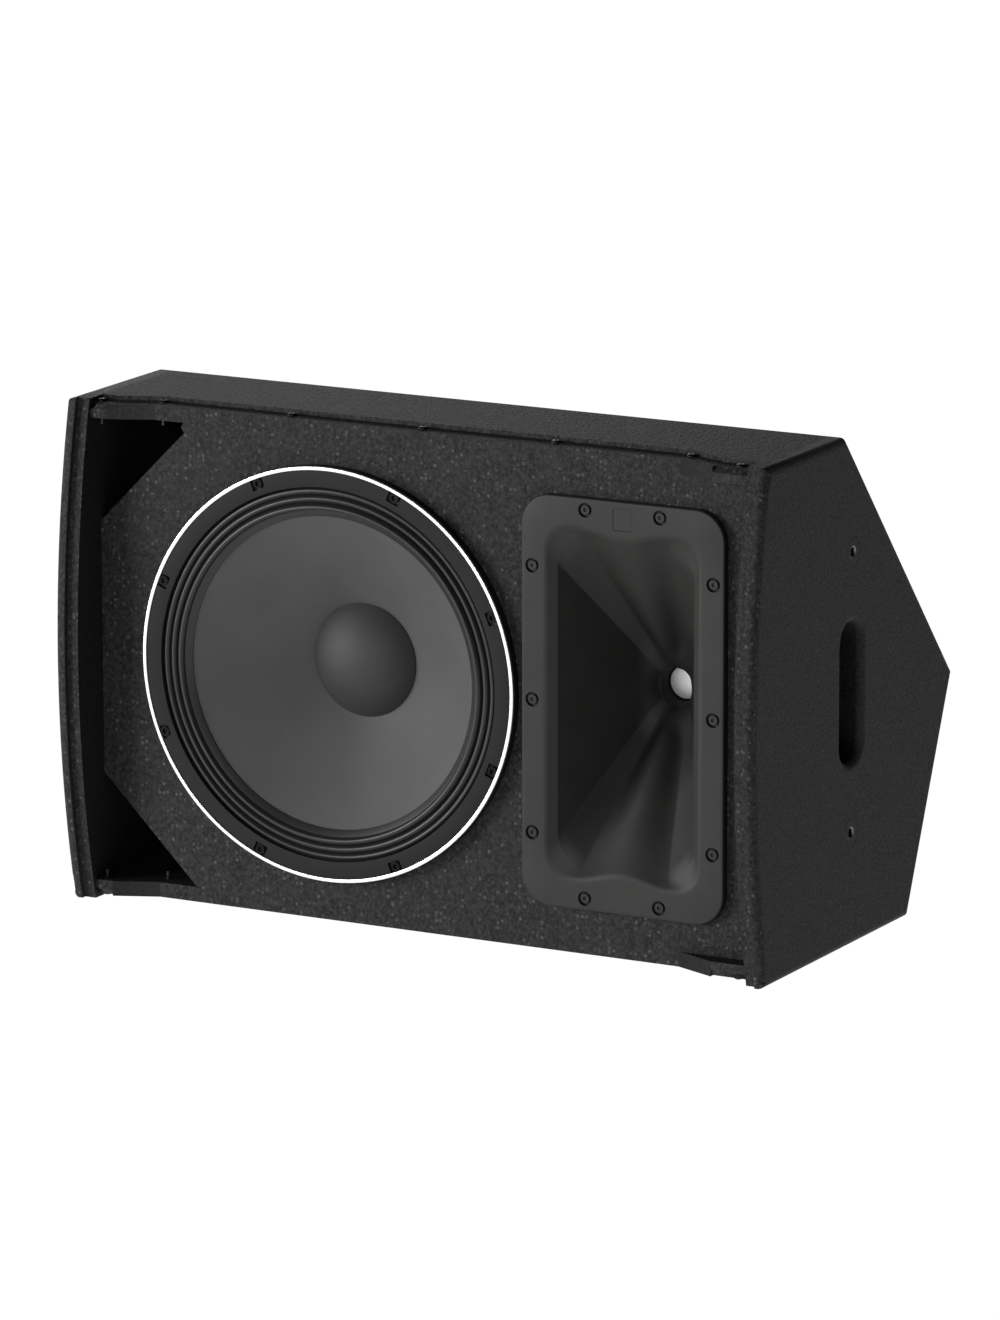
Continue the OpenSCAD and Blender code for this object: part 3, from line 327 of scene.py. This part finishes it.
# ---- Mesh building ----
def piece(name, bm, looks, body="cabinet", replaces=(), smooth=32, weighted=False):
    """Makes a piece from a bmesh, smooth but for edges over smooth degrees, riding on a body."""
    mesh = bpy.data.meshes.new(name)
    bmesh.ops.recalc_face_normals(bm, faces=bm.faces)
    bm.to_mesh(mesh)
    bm.free()
    for look in [looks] if isinstance(looks, str) else looks:
        mesh.materials.append(LOOKS[look])
    mesh.polygons.foreach_set("use_smooth", [True] * len(mesh.polygons))
    mesh.set_sharp_from_angle(angle=math.radians(smooth))
    made = bpy.data.objects.new(name, mesh)
    bpy.context.scene.collection.objects.link(made)
    if weighted:
        modifier = made.modifiers.new("flat_faces", "WEIGHTED_NORMAL")
        modifier.keep_sharp = True
    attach(made, body)
    if replaces:
        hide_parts(*replaces)
    return made


WELD = 0.00001
FLAT = math.radians(0.4)
CORNER = math.radians(28)


def cad_copy(node):
    """A clean mesh of a CAD node: welded, and each flat face in one piece."""
    bm = bmesh.new()
    bm.from_mesh(frame["nodes"][node].data)
    bmesh.ops.remove_doubles(bm, verts=bm.verts, dist=WELD)
    bmesh.ops.dissolve_limit(bm, angle_limit=FLAT, verts=bm.verts, edges=bm.edges)
    return bm


def soften(bm, width, wanted=None, segments=3):
    """Rounds the corners of a mesh where wanted(one end, other end) says so."""
    edges = [
        e
        for e in bm.edges
        if len(e.link_faces) == 2
        and e.calc_face_angle(0) > CORNER
        and (wanted is None or wanted(e.verts[0].co, e.verts[1].co))
    ]
    bmesh.ops.bevel(
        bm, geom=edges, offset=width, segments=segments, profile=0.5, affect="EDGES", clamp_overlap=True
    )
    return bm


def no_edge(a, b):
    """For a mesh whose corners all stay sharp."""
    return False


def softened(node, looks, width, wanted=None, body="cabinet", look_of=None):
    """The CAD node's own shape with its corners rounded. look_of(face) picks among several looks."""
    return finished(node, soften(cad_copy(node), width, wanted), looks, body, look_of)


def finished(node, bm, looks, body="cabinet", look_of=None):
    """Makes the piece that stands in for a CAD node."""
    if look_of:
        for face in bm.faces:
            face.material_index = look_of(face)
    return piece("soft_" + node, bm, looks, body, [node], weighted=True)


def paint_cad(node, look):
    """Keeps a CAD node's own mesh and gives it a finished material."""
    mesh = frame["nodes"][node].data
    for i in range(len(mesh.materials)):
        mesh.materials[i] = LOOKS[look]


def fillet(points, radius, steps=3, closed=True):
    """Rounds the corners of an outline of (radius, depth) points, in millimetres."""
    made = []
    n = len(points)
    for i, point in enumerate(points):
        if not closed and i in (0, n - 1):
            made.append(point)
            continue
        p = Vector(point)
        a, b = Vector(points[i - 1]), Vector(points[(i + 1) % n])
        cut_a = min(radius, (a - p).length * 0.45)
        cut_b = min(radius, (b - p).length * 0.45)
        start, end = p + (a - p).normalized() * cut_a, p + (b - p).normalized() * cut_b
        for k in range(steps + 1):
            t = k / steps
            made.append(tuple(start * (1 - t) ** 2 + p * 2 * t * (1 - t) + end * t * t))
    return made


def lathe(profile, centre, steps=240, closed=True, look_of=None):
    """Turns an outline of (radius, depth back from centre) in millimetres about the Y axis."""
    bm = bmesh.new()
    rings = []
    for r, d in profile:
        if r < 0.001:
            rings.append([bm.verts.new((centre.x, centre.y + d * MM, centre.z))] * steps)
            continue
        turn = [2 * math.pi * k / steps for k in range(steps)]
        across = [(r * MM * math.cos(a), r * MM * math.sin(a)) for a in turn]
        rings.append([bm.verts.new((centre.x + x, centre.y + d * MM, centre.z + z)) for x, z in across])
    spans = len(rings) if closed else len(rings) - 1
    for i in range(spans):
        low, high = rings[i], rings[(i + 1) % len(rings)]
        for k in range(steps):
            j = (k + 1) % steps
            corners = list(dict.fromkeys((low[k], low[j], high[j], high[k])))
            if len(corners) > 2:
                face = bm.faces.new(corners)
                if look_of:
                    face.material_index = look_of(i)
    return bm


def cut(made, cutters):
    """Takes the cutters' shapes out of a piece, and removes the cutters."""
    for cutter in cutters:
        modifier = made.modifiers.new("cut", "BOOLEAN")
        modifier.operation, modifier.solver, modifier.object = "DIFFERENCE", "EXACT", cutter
    bpy.context.view_layer.update()
    result = bpy.data.meshes.new_from_object(made.evaluated_get(bpy.context.evaluated_depsgraph_get()))
    made.modifiers.clear()
    made.data = result
    for cutter in cutters:
        bpy.data.objects.remove(cutter)


# ---- Cabinet panels ----
FRONT_ROUND = 2.2 * MM
SLOT_ROUND, SLOT_STEPS = 5.0 * MM, 5
MIDDLE_Z = (TOP_Z + cad_box[0].z) / 2
REBATE_BACK = BAFFLE_LO.y + 26 * MM
RAMP_IN = 10 * MM  # the ramps lie at least this far in from the end panels


def lip_edge(a, b):
    """The front edges of the top and bottom panels, but not where they meet the end panels."""
    at_end = abs(abs(a.x) - END_INNER_X) < WELD and abs(abs(b.x) - END_INNER_X) < WELD
    return max(a.y, b.y) < REBATE_BACK and not at_end


def slot_edge(a, b):
    """The outer edge of an end panel's hand slot."""
    return all(
        abs(v.x) > END_OUTER_X - WELD and SLOT_LO.y < v.y < SLOT_HI.y and SLOT_LO.z < v.z < SLOT_HI.z
        for v in (a, b)
    )


def end_edge(a, b):
    """The end panels' edges in front of the baffle."""
    return max(a.y, b.y) < BAFFLE_LO.y - 2 * MM


def before_baffle(face):
    return face.calc_center_median().y < BAFFLE_LO.y + 2 * MM


def end_look(face):
    """0 outside, 1 the front edge, 2 the side towards the inside, which takes the darkened coat as painted
    shade.
    """
    place, normal = face.calc_center_median(), face.normal
    if abs(normal.x) > 0.9 and abs(place.x) < END_INNER_X + WELD:
        return 2
    return int(before_baffle(face) and abs(normal.x) < 0.9)


def lip_look(face):
    """0 outside, 1 the lips' fronts, 2 the ramps, 3 inside. 0 takes the lightened coat as painted light, 2
    the darkened coat and 3 the near-black coat as painted shade.
    """
    place, normal = face.calc_center_median(), face.normal
    if not before_baffle(face):
        return 3 if normal.z * (place.z - MIDDLE_Z) < 0 else 0
    if abs(normal.z) > 0.9:
        return 0
    sloped = abs(normal.x) > 0.3 and abs(place.x) < END_INNER_X - RAMP_IN
    return 2 if sloped else 1


def make_panels():
    for side in ("right", "left"):
        node = f"end_panel_{side}"
        bm = soften(cad_copy(node), SLOT_ROUND, slot_edge, SLOT_STEPS)
        # The inner faces take the darkened coat, as painted shade.
        looks = ["coat_end", "coat_front", "coat_darkened_painted_shade"]
        finished(node, soften(bm, FRONT_ROUND, end_edge), looks, look_of=end_look)
    for level in ("top", "bottom"):
        # Outer faces in the lightened coat as painted light, ramps in the darkened coat and inner faces in
        # the near-black coat as painted shade.
        looks = ["coat_top", "coat_front", "coat_darkened_painted_shade", "coat_inside"]
        softened(f"{level}_panel", looks, FRONT_ROUND, lip_edge, look_of=lip_look)
    # The back panels take the lightened coat, as painted light.
    for node in ("upper_back_panel", "lower_back_panel"):
        softened(node, "coat_top", FRONT_ROUND, no_edge)
    paint_cad("front_baffle", "coat_front")
    # The port boards take the near-black coat, as painted shade.
    for level in ("upper", "lower"):
        softened(f"port_board_{level}", "coat_inside", 0.8 * MM, no_edge)


make_panels()

# ---- Woofer ----
RING_R = (RING_HI.x - RING_LO.x) / 2 / MM
FLANGE_R = RING_R - 3.5
TRIM_T = (RING_HI.y - RING_LO.y) / MM
CONE_R, CONE_SLOPE, CONE_T = 152.0, 0.679, 1.5
COIL_R = 38.6
ROLL_R, LAND_R, BAND_R = 174.0, 180.4, 146.0
CAP_R, CAP_H, CAP_T, CAP_SINK = 53.0, 24.0, 0.8, 0.9
SCREW_N = 8
POCKET_R, POCKET_DEPTH = 190, 3
POCKET_SIZE = (20 * MM, 12 * MM, 13 * MM)
ROLL_N, ROLL_STEPS, ROLL_RISE, ROLL_VALLEY, CLOTH_T = 3, 20, 5.2, 8.0, 0.9


def cone_depth(r):
    return 7.4 + (CONE_R - r) * CONE_SLOPE


def make_trim_ring():
    profile = [
        (FLANGE_R + 0.1, 0.0), (RING_R, 0.0), (RING_R, TRIM_T), (FLANGE_R + 0.1, TRIM_T)
    ]
    bm = lathe(fillet(profile, 0.7, 4), WOOFER)
    piece("trim_ring", bm, "bright", replaces=["woofer_trim_ring"])


def box_cutter(centre, size, turn):
    """A box whose local X points outwards from the woofer's axis at an angle."""
    bm = bmesh.new()
    bmesh.ops.create_cube(bm, size=1)
    mesh = bpy.data.meshes.new("cutter")
    bm.to_mesh(mesh)
    bm.free()
    cutter = bpy.data.objects.new("cutter", mesh)
    bpy.context.scene.collection.objects.link(cutter)
    cutter.location, cutter.scale, cutter.rotation_euler = centre, size, (0, -turn, 0)
    return cutter


def round_woofer(radius, depth, angle):
    return WOOFER + Vector((radius * math.cos(angle), depth, radius * math.sin(angle))) * MM


def screw_angles():
    return [2 * math.pi * (i + 0.5) / SCREW_N for i in range(SCREW_N)]


def make_gasket():
    profile = [
        (ROLL_R + 0.2, 1.0), (FLANGE_R, 1.0), (FLANGE_R, 5.0),
        (LAND_R + 0.2, 5.0), (LAND_R + 0.2, 4.0), (ROLL_R + 0.2, 4.0),
    ]
    bm = lathe(fillet(profile, 0.6, 3), WOOFER)
    made = piece("gasket_ring", bm, "gasket", replaces=["woofer_gasket_ring"])
    pockets = [
        box_cutter(round_woofer(POCKET_R, POCKET_DEPTH, a), POCKET_SIZE, a) for a in screw_angles()
    ]
    cut(made, pockets)


def roll(f, n, rise, sharpness=0.62):
    """Height of the nth part of a pleated ring at a share f of its width."""
    return rise * abs(math.sin(math.pi * n * f)) ** sharpness


def make_surround():
    rim, land = cone_depth(CONE_R) - 1, 4.0
    front = [(BAND_R, cone_depth(BAND_R) - 1), (BAND_R + 0.5, cone_depth(BAND_R) - 1.5)]
    for i in range(ROLL_N * ROLL_STEPS + 1):
        f = i / (ROLL_N * ROLL_STEPS)
        base = rim + (ROLL_VALLEY - rim) * min(1, f * ROLL_N)
        front.append((CONE_R + f * (ROLL_R - CONE_R), base - roll(f, ROLL_N, ROLL_RISE)))
    front += [(ROLL_R + 0.6, land + 0.4), (ROLL_R + 1.4, land), (LAND_R, land)]
    back = [(r, d + CLOTH_T) for r, d in reversed(front)]
    surround = piece("surround", lathe(front + back, WOOFER, 256), "surround", smooth=40)
    blend_radially(surround)
    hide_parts("woofer_surround")


def blend_radially(made):
    """Frees a piece from its body: unparents it, drops its body tag and bakes its place into the mesh."""
    made.parent = None
    del made["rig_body"]
    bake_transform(made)


def make_leads():
    """The two braids from the basket's terminals to the cone, freed from any body."""
    leads = piece("lead_braids", cad_copy("tinsel_leads"), "braid")
    blend_radially(leads)
    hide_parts("tinsel_leads")


def make_cone():
    outer, inner = CONE_R, COIL_R + 0.05
    steps = 24
    front = [outer - (outer - inner) * i / steps for i in range(steps + 1)]
    profile = [(r, cone_depth(r)) for r in front]
    profile += [(inner, cone_depth(inner) + CONE_T), (outer, cone_depth(outer) + CONE_T)]
    piece("cone", lathe(profile, WOOFER, 256), "cone", "cone_assembly", ["woofer_cone"])


def make_cap():
    sphere_r = (CAP_R ** 2 + CAP_H ** 2) / (2 * CAP_H)
    rim = cone_depth(CAP_R) - CAP_SINK
    steps = 40
    outside, inside = [], []
    for i in range(steps + 1):
        r = CAP_R * i / steps
        drop = sphere_r - math.sqrt(sphere_r ** 2 - r ** 2)
        outside.append((r, rim - CAP_H + drop))
        inner_r = r * (CAP_R - CAP_SINK) / CAP_R
        inside.append((inner_r, rim - CAP_H + CAP_T + drop * (CAP_H - CAP_T) / CAP_H))
    bm = lathe(outside + list(reversed(inside)), WOOFER, 200, closed=False)
    bmesh.ops.remove_doubles(bm, verts=bm.verts, dist=WELD)
    piece("dust_cap", bm, "cap", "cone_assembly", ["woofer_dust_cap"])


def make_woofer():
    make_trim_ring()
    make_gasket()
    make_surround()
    make_leads()
    make_cone()
    make_cap()
    softened("woofer_basket", "casting", 0.5 * MM, no_edge)
    softened("woofer_screws", "woofer_screw", 0.35 * MM)


make_woofer()

# ---- Horn ----
HORN_W, HORN_H = (PLATE_HI.x - PLATE_LO.x) / MM, (PLATE_HI.z - PLATE_LO.z) / MM
PLATE_T, PLATE_CORNER = 8.0, 29.0
MOUTH_X, MOUTH_Z, MOUTH_DIP, MOUTH_CORNER = 77.5, 162.0, 7.5, 28.0
FLARE_DEPTH, THROAT_R, WALL = 110.0, 17.0, 4.0
HORN_SCREWS = [(sx * 37.5, sz * 178.7) for sx in (-1, 1) for sz in (-1, 1)]
HORN_SCREWS += [(sx * 91, z) for sx in (-1, 1) for z in (-123.2, 0, 123.2)]
BADGE_W, BADGE_H, BADGE_Z = 19.0, 20.0, 173.0
EDGE_R, EDGE_STEPS = 1.8, 4
MOUTH_ROUND_OUT, MOUTH_ROUND_IN, MOUTH_STEPS = 3.5, 2.2, 6
BORE_RIM_R, BORE_R, BORE_DEPTH, SHANK_R = 6.9, 6.6, 3.6, 2.6
THROAT_FLANGE_R, THROAT_FLANGE_T = 60, 8


def ease(t):
    t = min(max(t, 0), 1)
    return t * t * (3 - 2 * t)


def rounded_outline(w, h, r, n=12):
    """Anticlockwise outline of a rounded rectangle as (x, z) points."""
    made = []
    for turn, (cx, cz) in enumerate(((1, 1), (-1, 1), (-1, -1), (1, -1))):
        for k in range(n + 1):
            a = math.pi / 2 * (turn + k / n)
            made.append((cx * (w / 2 - r) + r * math.cos(a), cz * (h / 2 - r) + r * math.sin(a)))
    return made


def circle_outline(x, z, r, n=40):
    return [(x + r * math.cos(2 * math.pi * k / n), z + r * math.sin(2 * math.pi * k / n)) for k in range(n)]


SIDE_N, ARC_N, WAVE_N = 22, 14, 24
LIP_DEPTH, LIP_IN = 7.0, 5.5
CREASE_Z, THROAT_CREASE_Z = MOUTH_Z - MOUTH_CORNER, 11.0


def flare_quarter(depth):
    """A quarter of the flare's section at a depth: side wall, corner, then half a wave."""
    f = depth / FLARE_DEPTH
    left = 1 - f
    lip = LIP_IN * max(0, 1 - depth / LIP_DEPTH)
    side_x = THROAT_R + (MOUTH_X - LIP_IN - THROAT_R) * left + lip
    crease_z = THROAT_CREASE_Z + (CREASE_Z - THROAT_CREASE_Z) * left
    top_z = THROAT_R + (MOUTH_Z - THROAT_R) * left
    wave_x = side_x * (MOUTH_X - MOUTH_CORNER) / MOUTH_X
    dip = MOUTH_DIP * (1 + 1.2 * math.sin(math.pi * f)) * (1 - ease((f - 0.75) / 0.25))
    flat = 0.8 * ease(f / 0.12)
    mid = Vector(((side_x + wave_x) / 2, (crease_z + top_z) / 2))
    elbow = Vector((side_x, top_z)).lerp(mid, flat)
    start, end = Vector((side_x, crease_z)), Vector((wave_x, top_z))
    made = [(side_x, crease_z * i / SIDE_N) for i in range(SIDE_N)]
    for i in range(ARC_N):
        t = i / ARC_N
        made.append(tuple(start * (1 - t) ** 2 + elbow * 2 * t * (1 - t) + end * t * t))
    for i in range(WAVE_N + 1):
        t = i / WAVE_N
        made.append((wave_x * (1 - t), top_z - dip * (1 - math.cos(math.pi * t)) / 2))
    return made


def flare_section(depth, grow=0.0):
    """The whole section at a depth, turning into a circle towards the throat."""
    quarter = flare_quarter(depth)
    n = len(quarter) - 1
    full = quarter[:n]
    full += [(-x, z) for x, z in reversed(quarter[1:])]
    full += [(-x, -z) for x, z in quarter[:n]]
    full += [(x, -z) for x, z in reversed(quarter[1:])]
    round_share = ease((depth / FLARE_DEPTH - 0.8) / 0.2)
    made = []
    for x, z in full:
        length = math.hypot(x, z)
        px = x + (x / length * THROAT_R - x) * round_share
        pz = z + (z / length * THROAT_R - z) * round_share
        length = math.hypot(px, pz)
        made.append((px * (1 + grow / length), pz * (1 + grow / length)))
    return made


class HornMesh:
    """Rings of (x, z) points in millimetres at a depth behind the plate's front."""

    def __init__(self):
        self.bm = bmesh.new()

    def ring(self, points, depth):
        return [
            self.bm.verts.new((HORN.x + x * MM, HORN.y + depth * MM, HORN.z + z * MM)) for x, z in points
        ]

    def bridge(self, one, two):
        n = len(one)
        for k in range(n):
            self.bm.faces.new((one[k], one[(k + 1) % n], two[(k + 1) % n], two[k]))

    def bridge_all(self, rings):
        for one, two in zip(rings, rings[1:]):
            self.bridge(one, two)

    def fill(self, rings):
        edges = []
        for ring in rings:
            for k in range(len(ring)):
                edge = self.bm.edges.get((ring[k - 1], ring[k]))
                edges.append(edge or self.bm.edges.new((ring[k - 1], ring[k])))
        bmesh.ops.triangle_fill(self.bm, use_beauty=True, use_dissolve=False, edges=edges)


def make_horn():
    h = HornMesh()
    # Outside of the plate, from its front face round to its back
    outer = []
    for k in range(EDGE_STEPS + 1):
        a = math.pi / 2 * k / EDGE_STEPS
        inset = EDGE_R * (1 - math.sin(a))
        outline = rounded_outline(HORN_W - 2 * inset, HORN_H - 2 * inset, PLATE_CORNER - inset)
        outer.append(h.ring(outline, EDGE_R * (1 - math.cos(a))))
    outer.append(h.ring(rounded_outline(HORN_W, HORN_H, PLATE_CORNER), PLATE_T))
    h.bridge_all(outer)
    # Flare, with a rounded edge where it leaves the plate's face
    inner = []
    for k in range(MOUTH_STEPS):
        t = k / MOUTH_STEPS
        depth = MOUTH_ROUND_IN * t * t
        inner.append(h.ring(flare_section(depth, MOUTH_ROUND_OUT * (1 - t) ** 2), depth))
    depths = [MOUTH_ROUND_IN + 0.4 * i ** 1.6 for i in range(34)]
    depths = [d for d in depths if abs(d - LIP_DEPTH) > 0.6 and d < FLARE_DEPTH - 2]
    depths = sorted(depths + [LIP_DEPTH - 0.3, LIP_DEPTH, LIP_DEPTH + 0.3, FLARE_DEPTH])
    for depth in depths:
        inner.append(h.ring(flare_section(depth), depth))
    h.bridge_all(inner)
    # Back of the flare
    flange_front = FLARE_DEPTH - THROAT_FLANGE_T
    back_depths = [PLATE_T + (flange_front - PLATE_T) * i / 20 for i in range(21)]
    back = [h.ring(flare_section(d, WALL), d) for d in back_depths]
    h.bridge_all(back)
    # Throat flange
    around = [math.atan2(z, x) for x, z in flare_section(0)]
    flange = [(THROAT_FLANGE_R * math.cos(a), THROAT_FLANGE_R * math.sin(a)) for a in around]
    front_ring = h.ring(flange, flange_front)
    back_ring = h.ring(flange, FLARE_DEPTH)
    h.bridge_all([back[-1], front_ring, back_ring, inner[-1]])
    # Screw holes with counterbores, and the badge's recess
    front_holes, back_holes = [], []
    for x, z in HORN_SCREWS:
        sides = [
            (BORE_RIM_R, 0), (BORE_R, 0.3), (BORE_R, BORE_DEPTH), (SHANK_R, BORE_DEPTH), (SHANK_R, PLATE_T)
        ]
        rims = [h.ring(circle_outline(x, z, r), depth) for r, depth in sides]
        h.bridge_all(rims)
        front_holes.append(rims[0])
        back_holes.append(rims[-1])
    badge = [(x, z + BADGE_Z) for x, z in rounded_outline(BADGE_W, BADGE_H, 1.5, 5)]
    badge_in = [(x, z + BADGE_Z) for x, z in rounded_outline(BADGE_W - 0.2, BADGE_H - 0.2, 1.4, 5)]
    badge_rims = [h.ring(badge, 0), h.ring(badge_in, 1.0)]
    h.bridge(*badge_rims)
    h.fill([badge_rims[1]])
    h.fill([outer[0], inner[0], badge_rims[0], *front_holes])
    h.fill([outer[-1], back[0], *back_holes])
    bmesh.ops.remove_doubles(h.bm, verts=h.bm.verts, dist=WELD / 10)
    piece("horn_flare", h.bm, "horn", replaces=["horn"], smooth=30)
    softened("horn_screws", "black_screw", 0.3 * MM)
    softened("horn_badge", "horn", 0.25 * MM)


make_horn()

# ---- Carried-over CAD parts ----
SOFTENED = {
    "handle_cup_right": ("plastic", 1.6), "handle_cup_left": ("plastic", 1.6),
    "rubber_feet": ("rubber", 0.8),
    "input_dish": ("plastic", 0.5), "input_dish_screws": ("black_screw", 0.3),
    "speaker_sockets": ("socket", 0.4), "mode_switch_body": ("plastic", 0.4),
}
# The baffle cleats, bare ply in the real cabinet, take the near-black coat as painted shade.
PAINTED = {
    "baffle_cleats": "coat_inside", "cabinet_brace": "ply", "acoustic_lining": "wadding",
    "handle_screws": "zinc", "woofer_tee_nuts": "zinc", "woofer_spider": "spider",
    "voice_coil_former": "former", "voice_coil_winding": "copper", "woofer_top_plate": "iron",
    "woofer_magnet": "ferrite", "woofer_yoke": "iron", "woofer_terminal_block": "red",
    "woofer_terminal_tabs": "brass", "driver_yoke": "iron",
    "driver_magnet": "ferrite", "driver_top_plate": "iron",
    "driver_diaphragm": "titanium", "driver_coil": "copper", "driver_rear_cover": "plastic",
    "driver_bolts": "zinc", "driver_terminals": "red", "socket_tabs": "brass",
    "crossover_board": "board", "crossover_standoffs": "zinc", "crossover_inductors": "copper",
    "crossover_capacitors": "film", "crossover_resistors": "ceramic", "internal_cables": "cable",
}

PLUG_R = 15.45
FLY_APART, FLY_BORE_R = 260 * MM, 6 * MM
FLY_Z = [WOOFER.z + FLY_APART / 2, WOOFER.z - FLY_APART / 2]
FLY_Y = (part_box("fly_point_inserts")[0].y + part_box("fly_point_inserts")[1].y) / 2


# The last screws at the horn end stop within their lip
SHORT_SCREWS_X = END_INNER_X - 20 * MM
LIP_LOW_Z, LIP_HIGH_Z = BAFFLE_HI.z + 1 * MM, BAFFLE_LO.z - 1 * MM


def insert_look(face):
    """0 the flange, 1 the threaded hole."""
    place = face.calc_center_median()
    z = min(FLY_Z, key=lambda z: abs(z - place.z))
    return int(all(math.hypot(v.co.y - FLY_Y, v.co.z - z) < FLY_BORE_R for v in face.verts))


def paint_plug():
    """The nose is bright metal; its sleeve and what lies round it take the near-black coat, as painted
    shade.
    """
    mesh = frame["nodes"]["phase_plug"].data
    mesh.materials.clear()
    for look in ("coat_inside", "plug_metal"):
        mesh.materials.append(LOOKS[look])
    for face in mesh.polygons:
        radius = math.hypot(face.center.x - HORN.x, face.center.z - HORN.z) / MM
        face.material_index = int(radius < PLUG_R and face.normal.y < -0.3)


softened("fly_point_inserts", ["insert", "bore"], 1.6 * MM, look_of=insert_look)
paint_plug()
for node, (look, width) in SOFTENED.items():
    softened(node, look, width * MM)
for level in ("top", "bottom"):
    bm = cad_copy(f"grille_screws_{level}")
    for v in bm.verts:
        if v.co.x > SHORT_SCREWS_X:
            v.co.z = max(v.co.z, LIP_LOW_Z) if level == "top" else min(v.co.z, LIP_HIGH_Z)
    finished(f"grille_screws_{level}", soften(bm, 0.25 * MM), "black_screw")
softened("mode_switch_lever", "white", 0.5 * MM, body="switch_lever")
for node, look in PAINTED.items():
    paint_cad(node, look)


# ---- Studio ----
def make_floor():
    bm = bmesh.new()
    bmesh.ops.create_grid(bm, x_segments=1, y_segments=1, size=60)
    mesh = bpy.data.meshes.new("floor")
    bm.to_mesh(mesh)
    bm.free()
    p = Paint("floor", (0, 0, 0), 1.0, specular=0.0)
    p.shader.inputs["Emission Color"].default_value = (1, 1, 1, 1)
    p.shader.inputs["Emission Strength"].default_value = 1.02
    mesh.materials.append(p.material)
    floor = bpy.data.objects.new("floor", mesh)
    bpy.context.scene.collection.objects.link(floor)
    floor.location.z = cad_box[0].z - 0.0002


def area_light(name, at, aim, size, power, tall=None):
    data = bpy.data.lights.new(name, "AREA")
    data.shape = "RECTANGLE"
    data.size, data.size_y = size, tall or size
    data.energy = power
    lamp = bpy.data.objects.new(name, data)
    bpy.context.scene.collection.objects.link(lamp)
    lamp.location = at
    lamp.rotation_euler = (Vector(aim) - Vector(at)).to_track_quat("-Z", "Y").to_euler()


def make_studio():
    world = bpy.data.worlds.new("studio")
    world.use_nodes = True
    world.node_tree.nodes["Background"].inputs[0].default_value = (1, 1, 1, 1)
    world.node_tree.nodes["Background"].inputs[1].default_value = 0.03
    bpy.context.scene.world = world
    make_floor()
    area_light("key", (-3.7, -3.3, 1.2), (0, 0, 0.25), 2.4, 250)
    area_light("horizon", (-2.5, 3.3, 1.2), (0, 0, 0.45), 2.4, 40, 1.1)
    area_light("fill", (0.6, -5.2, 1.5), (0, 0, 0.25), 1.2, 70)


make_studio()

# ---- Brings the scene up to date ----
bpy.context.view_layer.update()
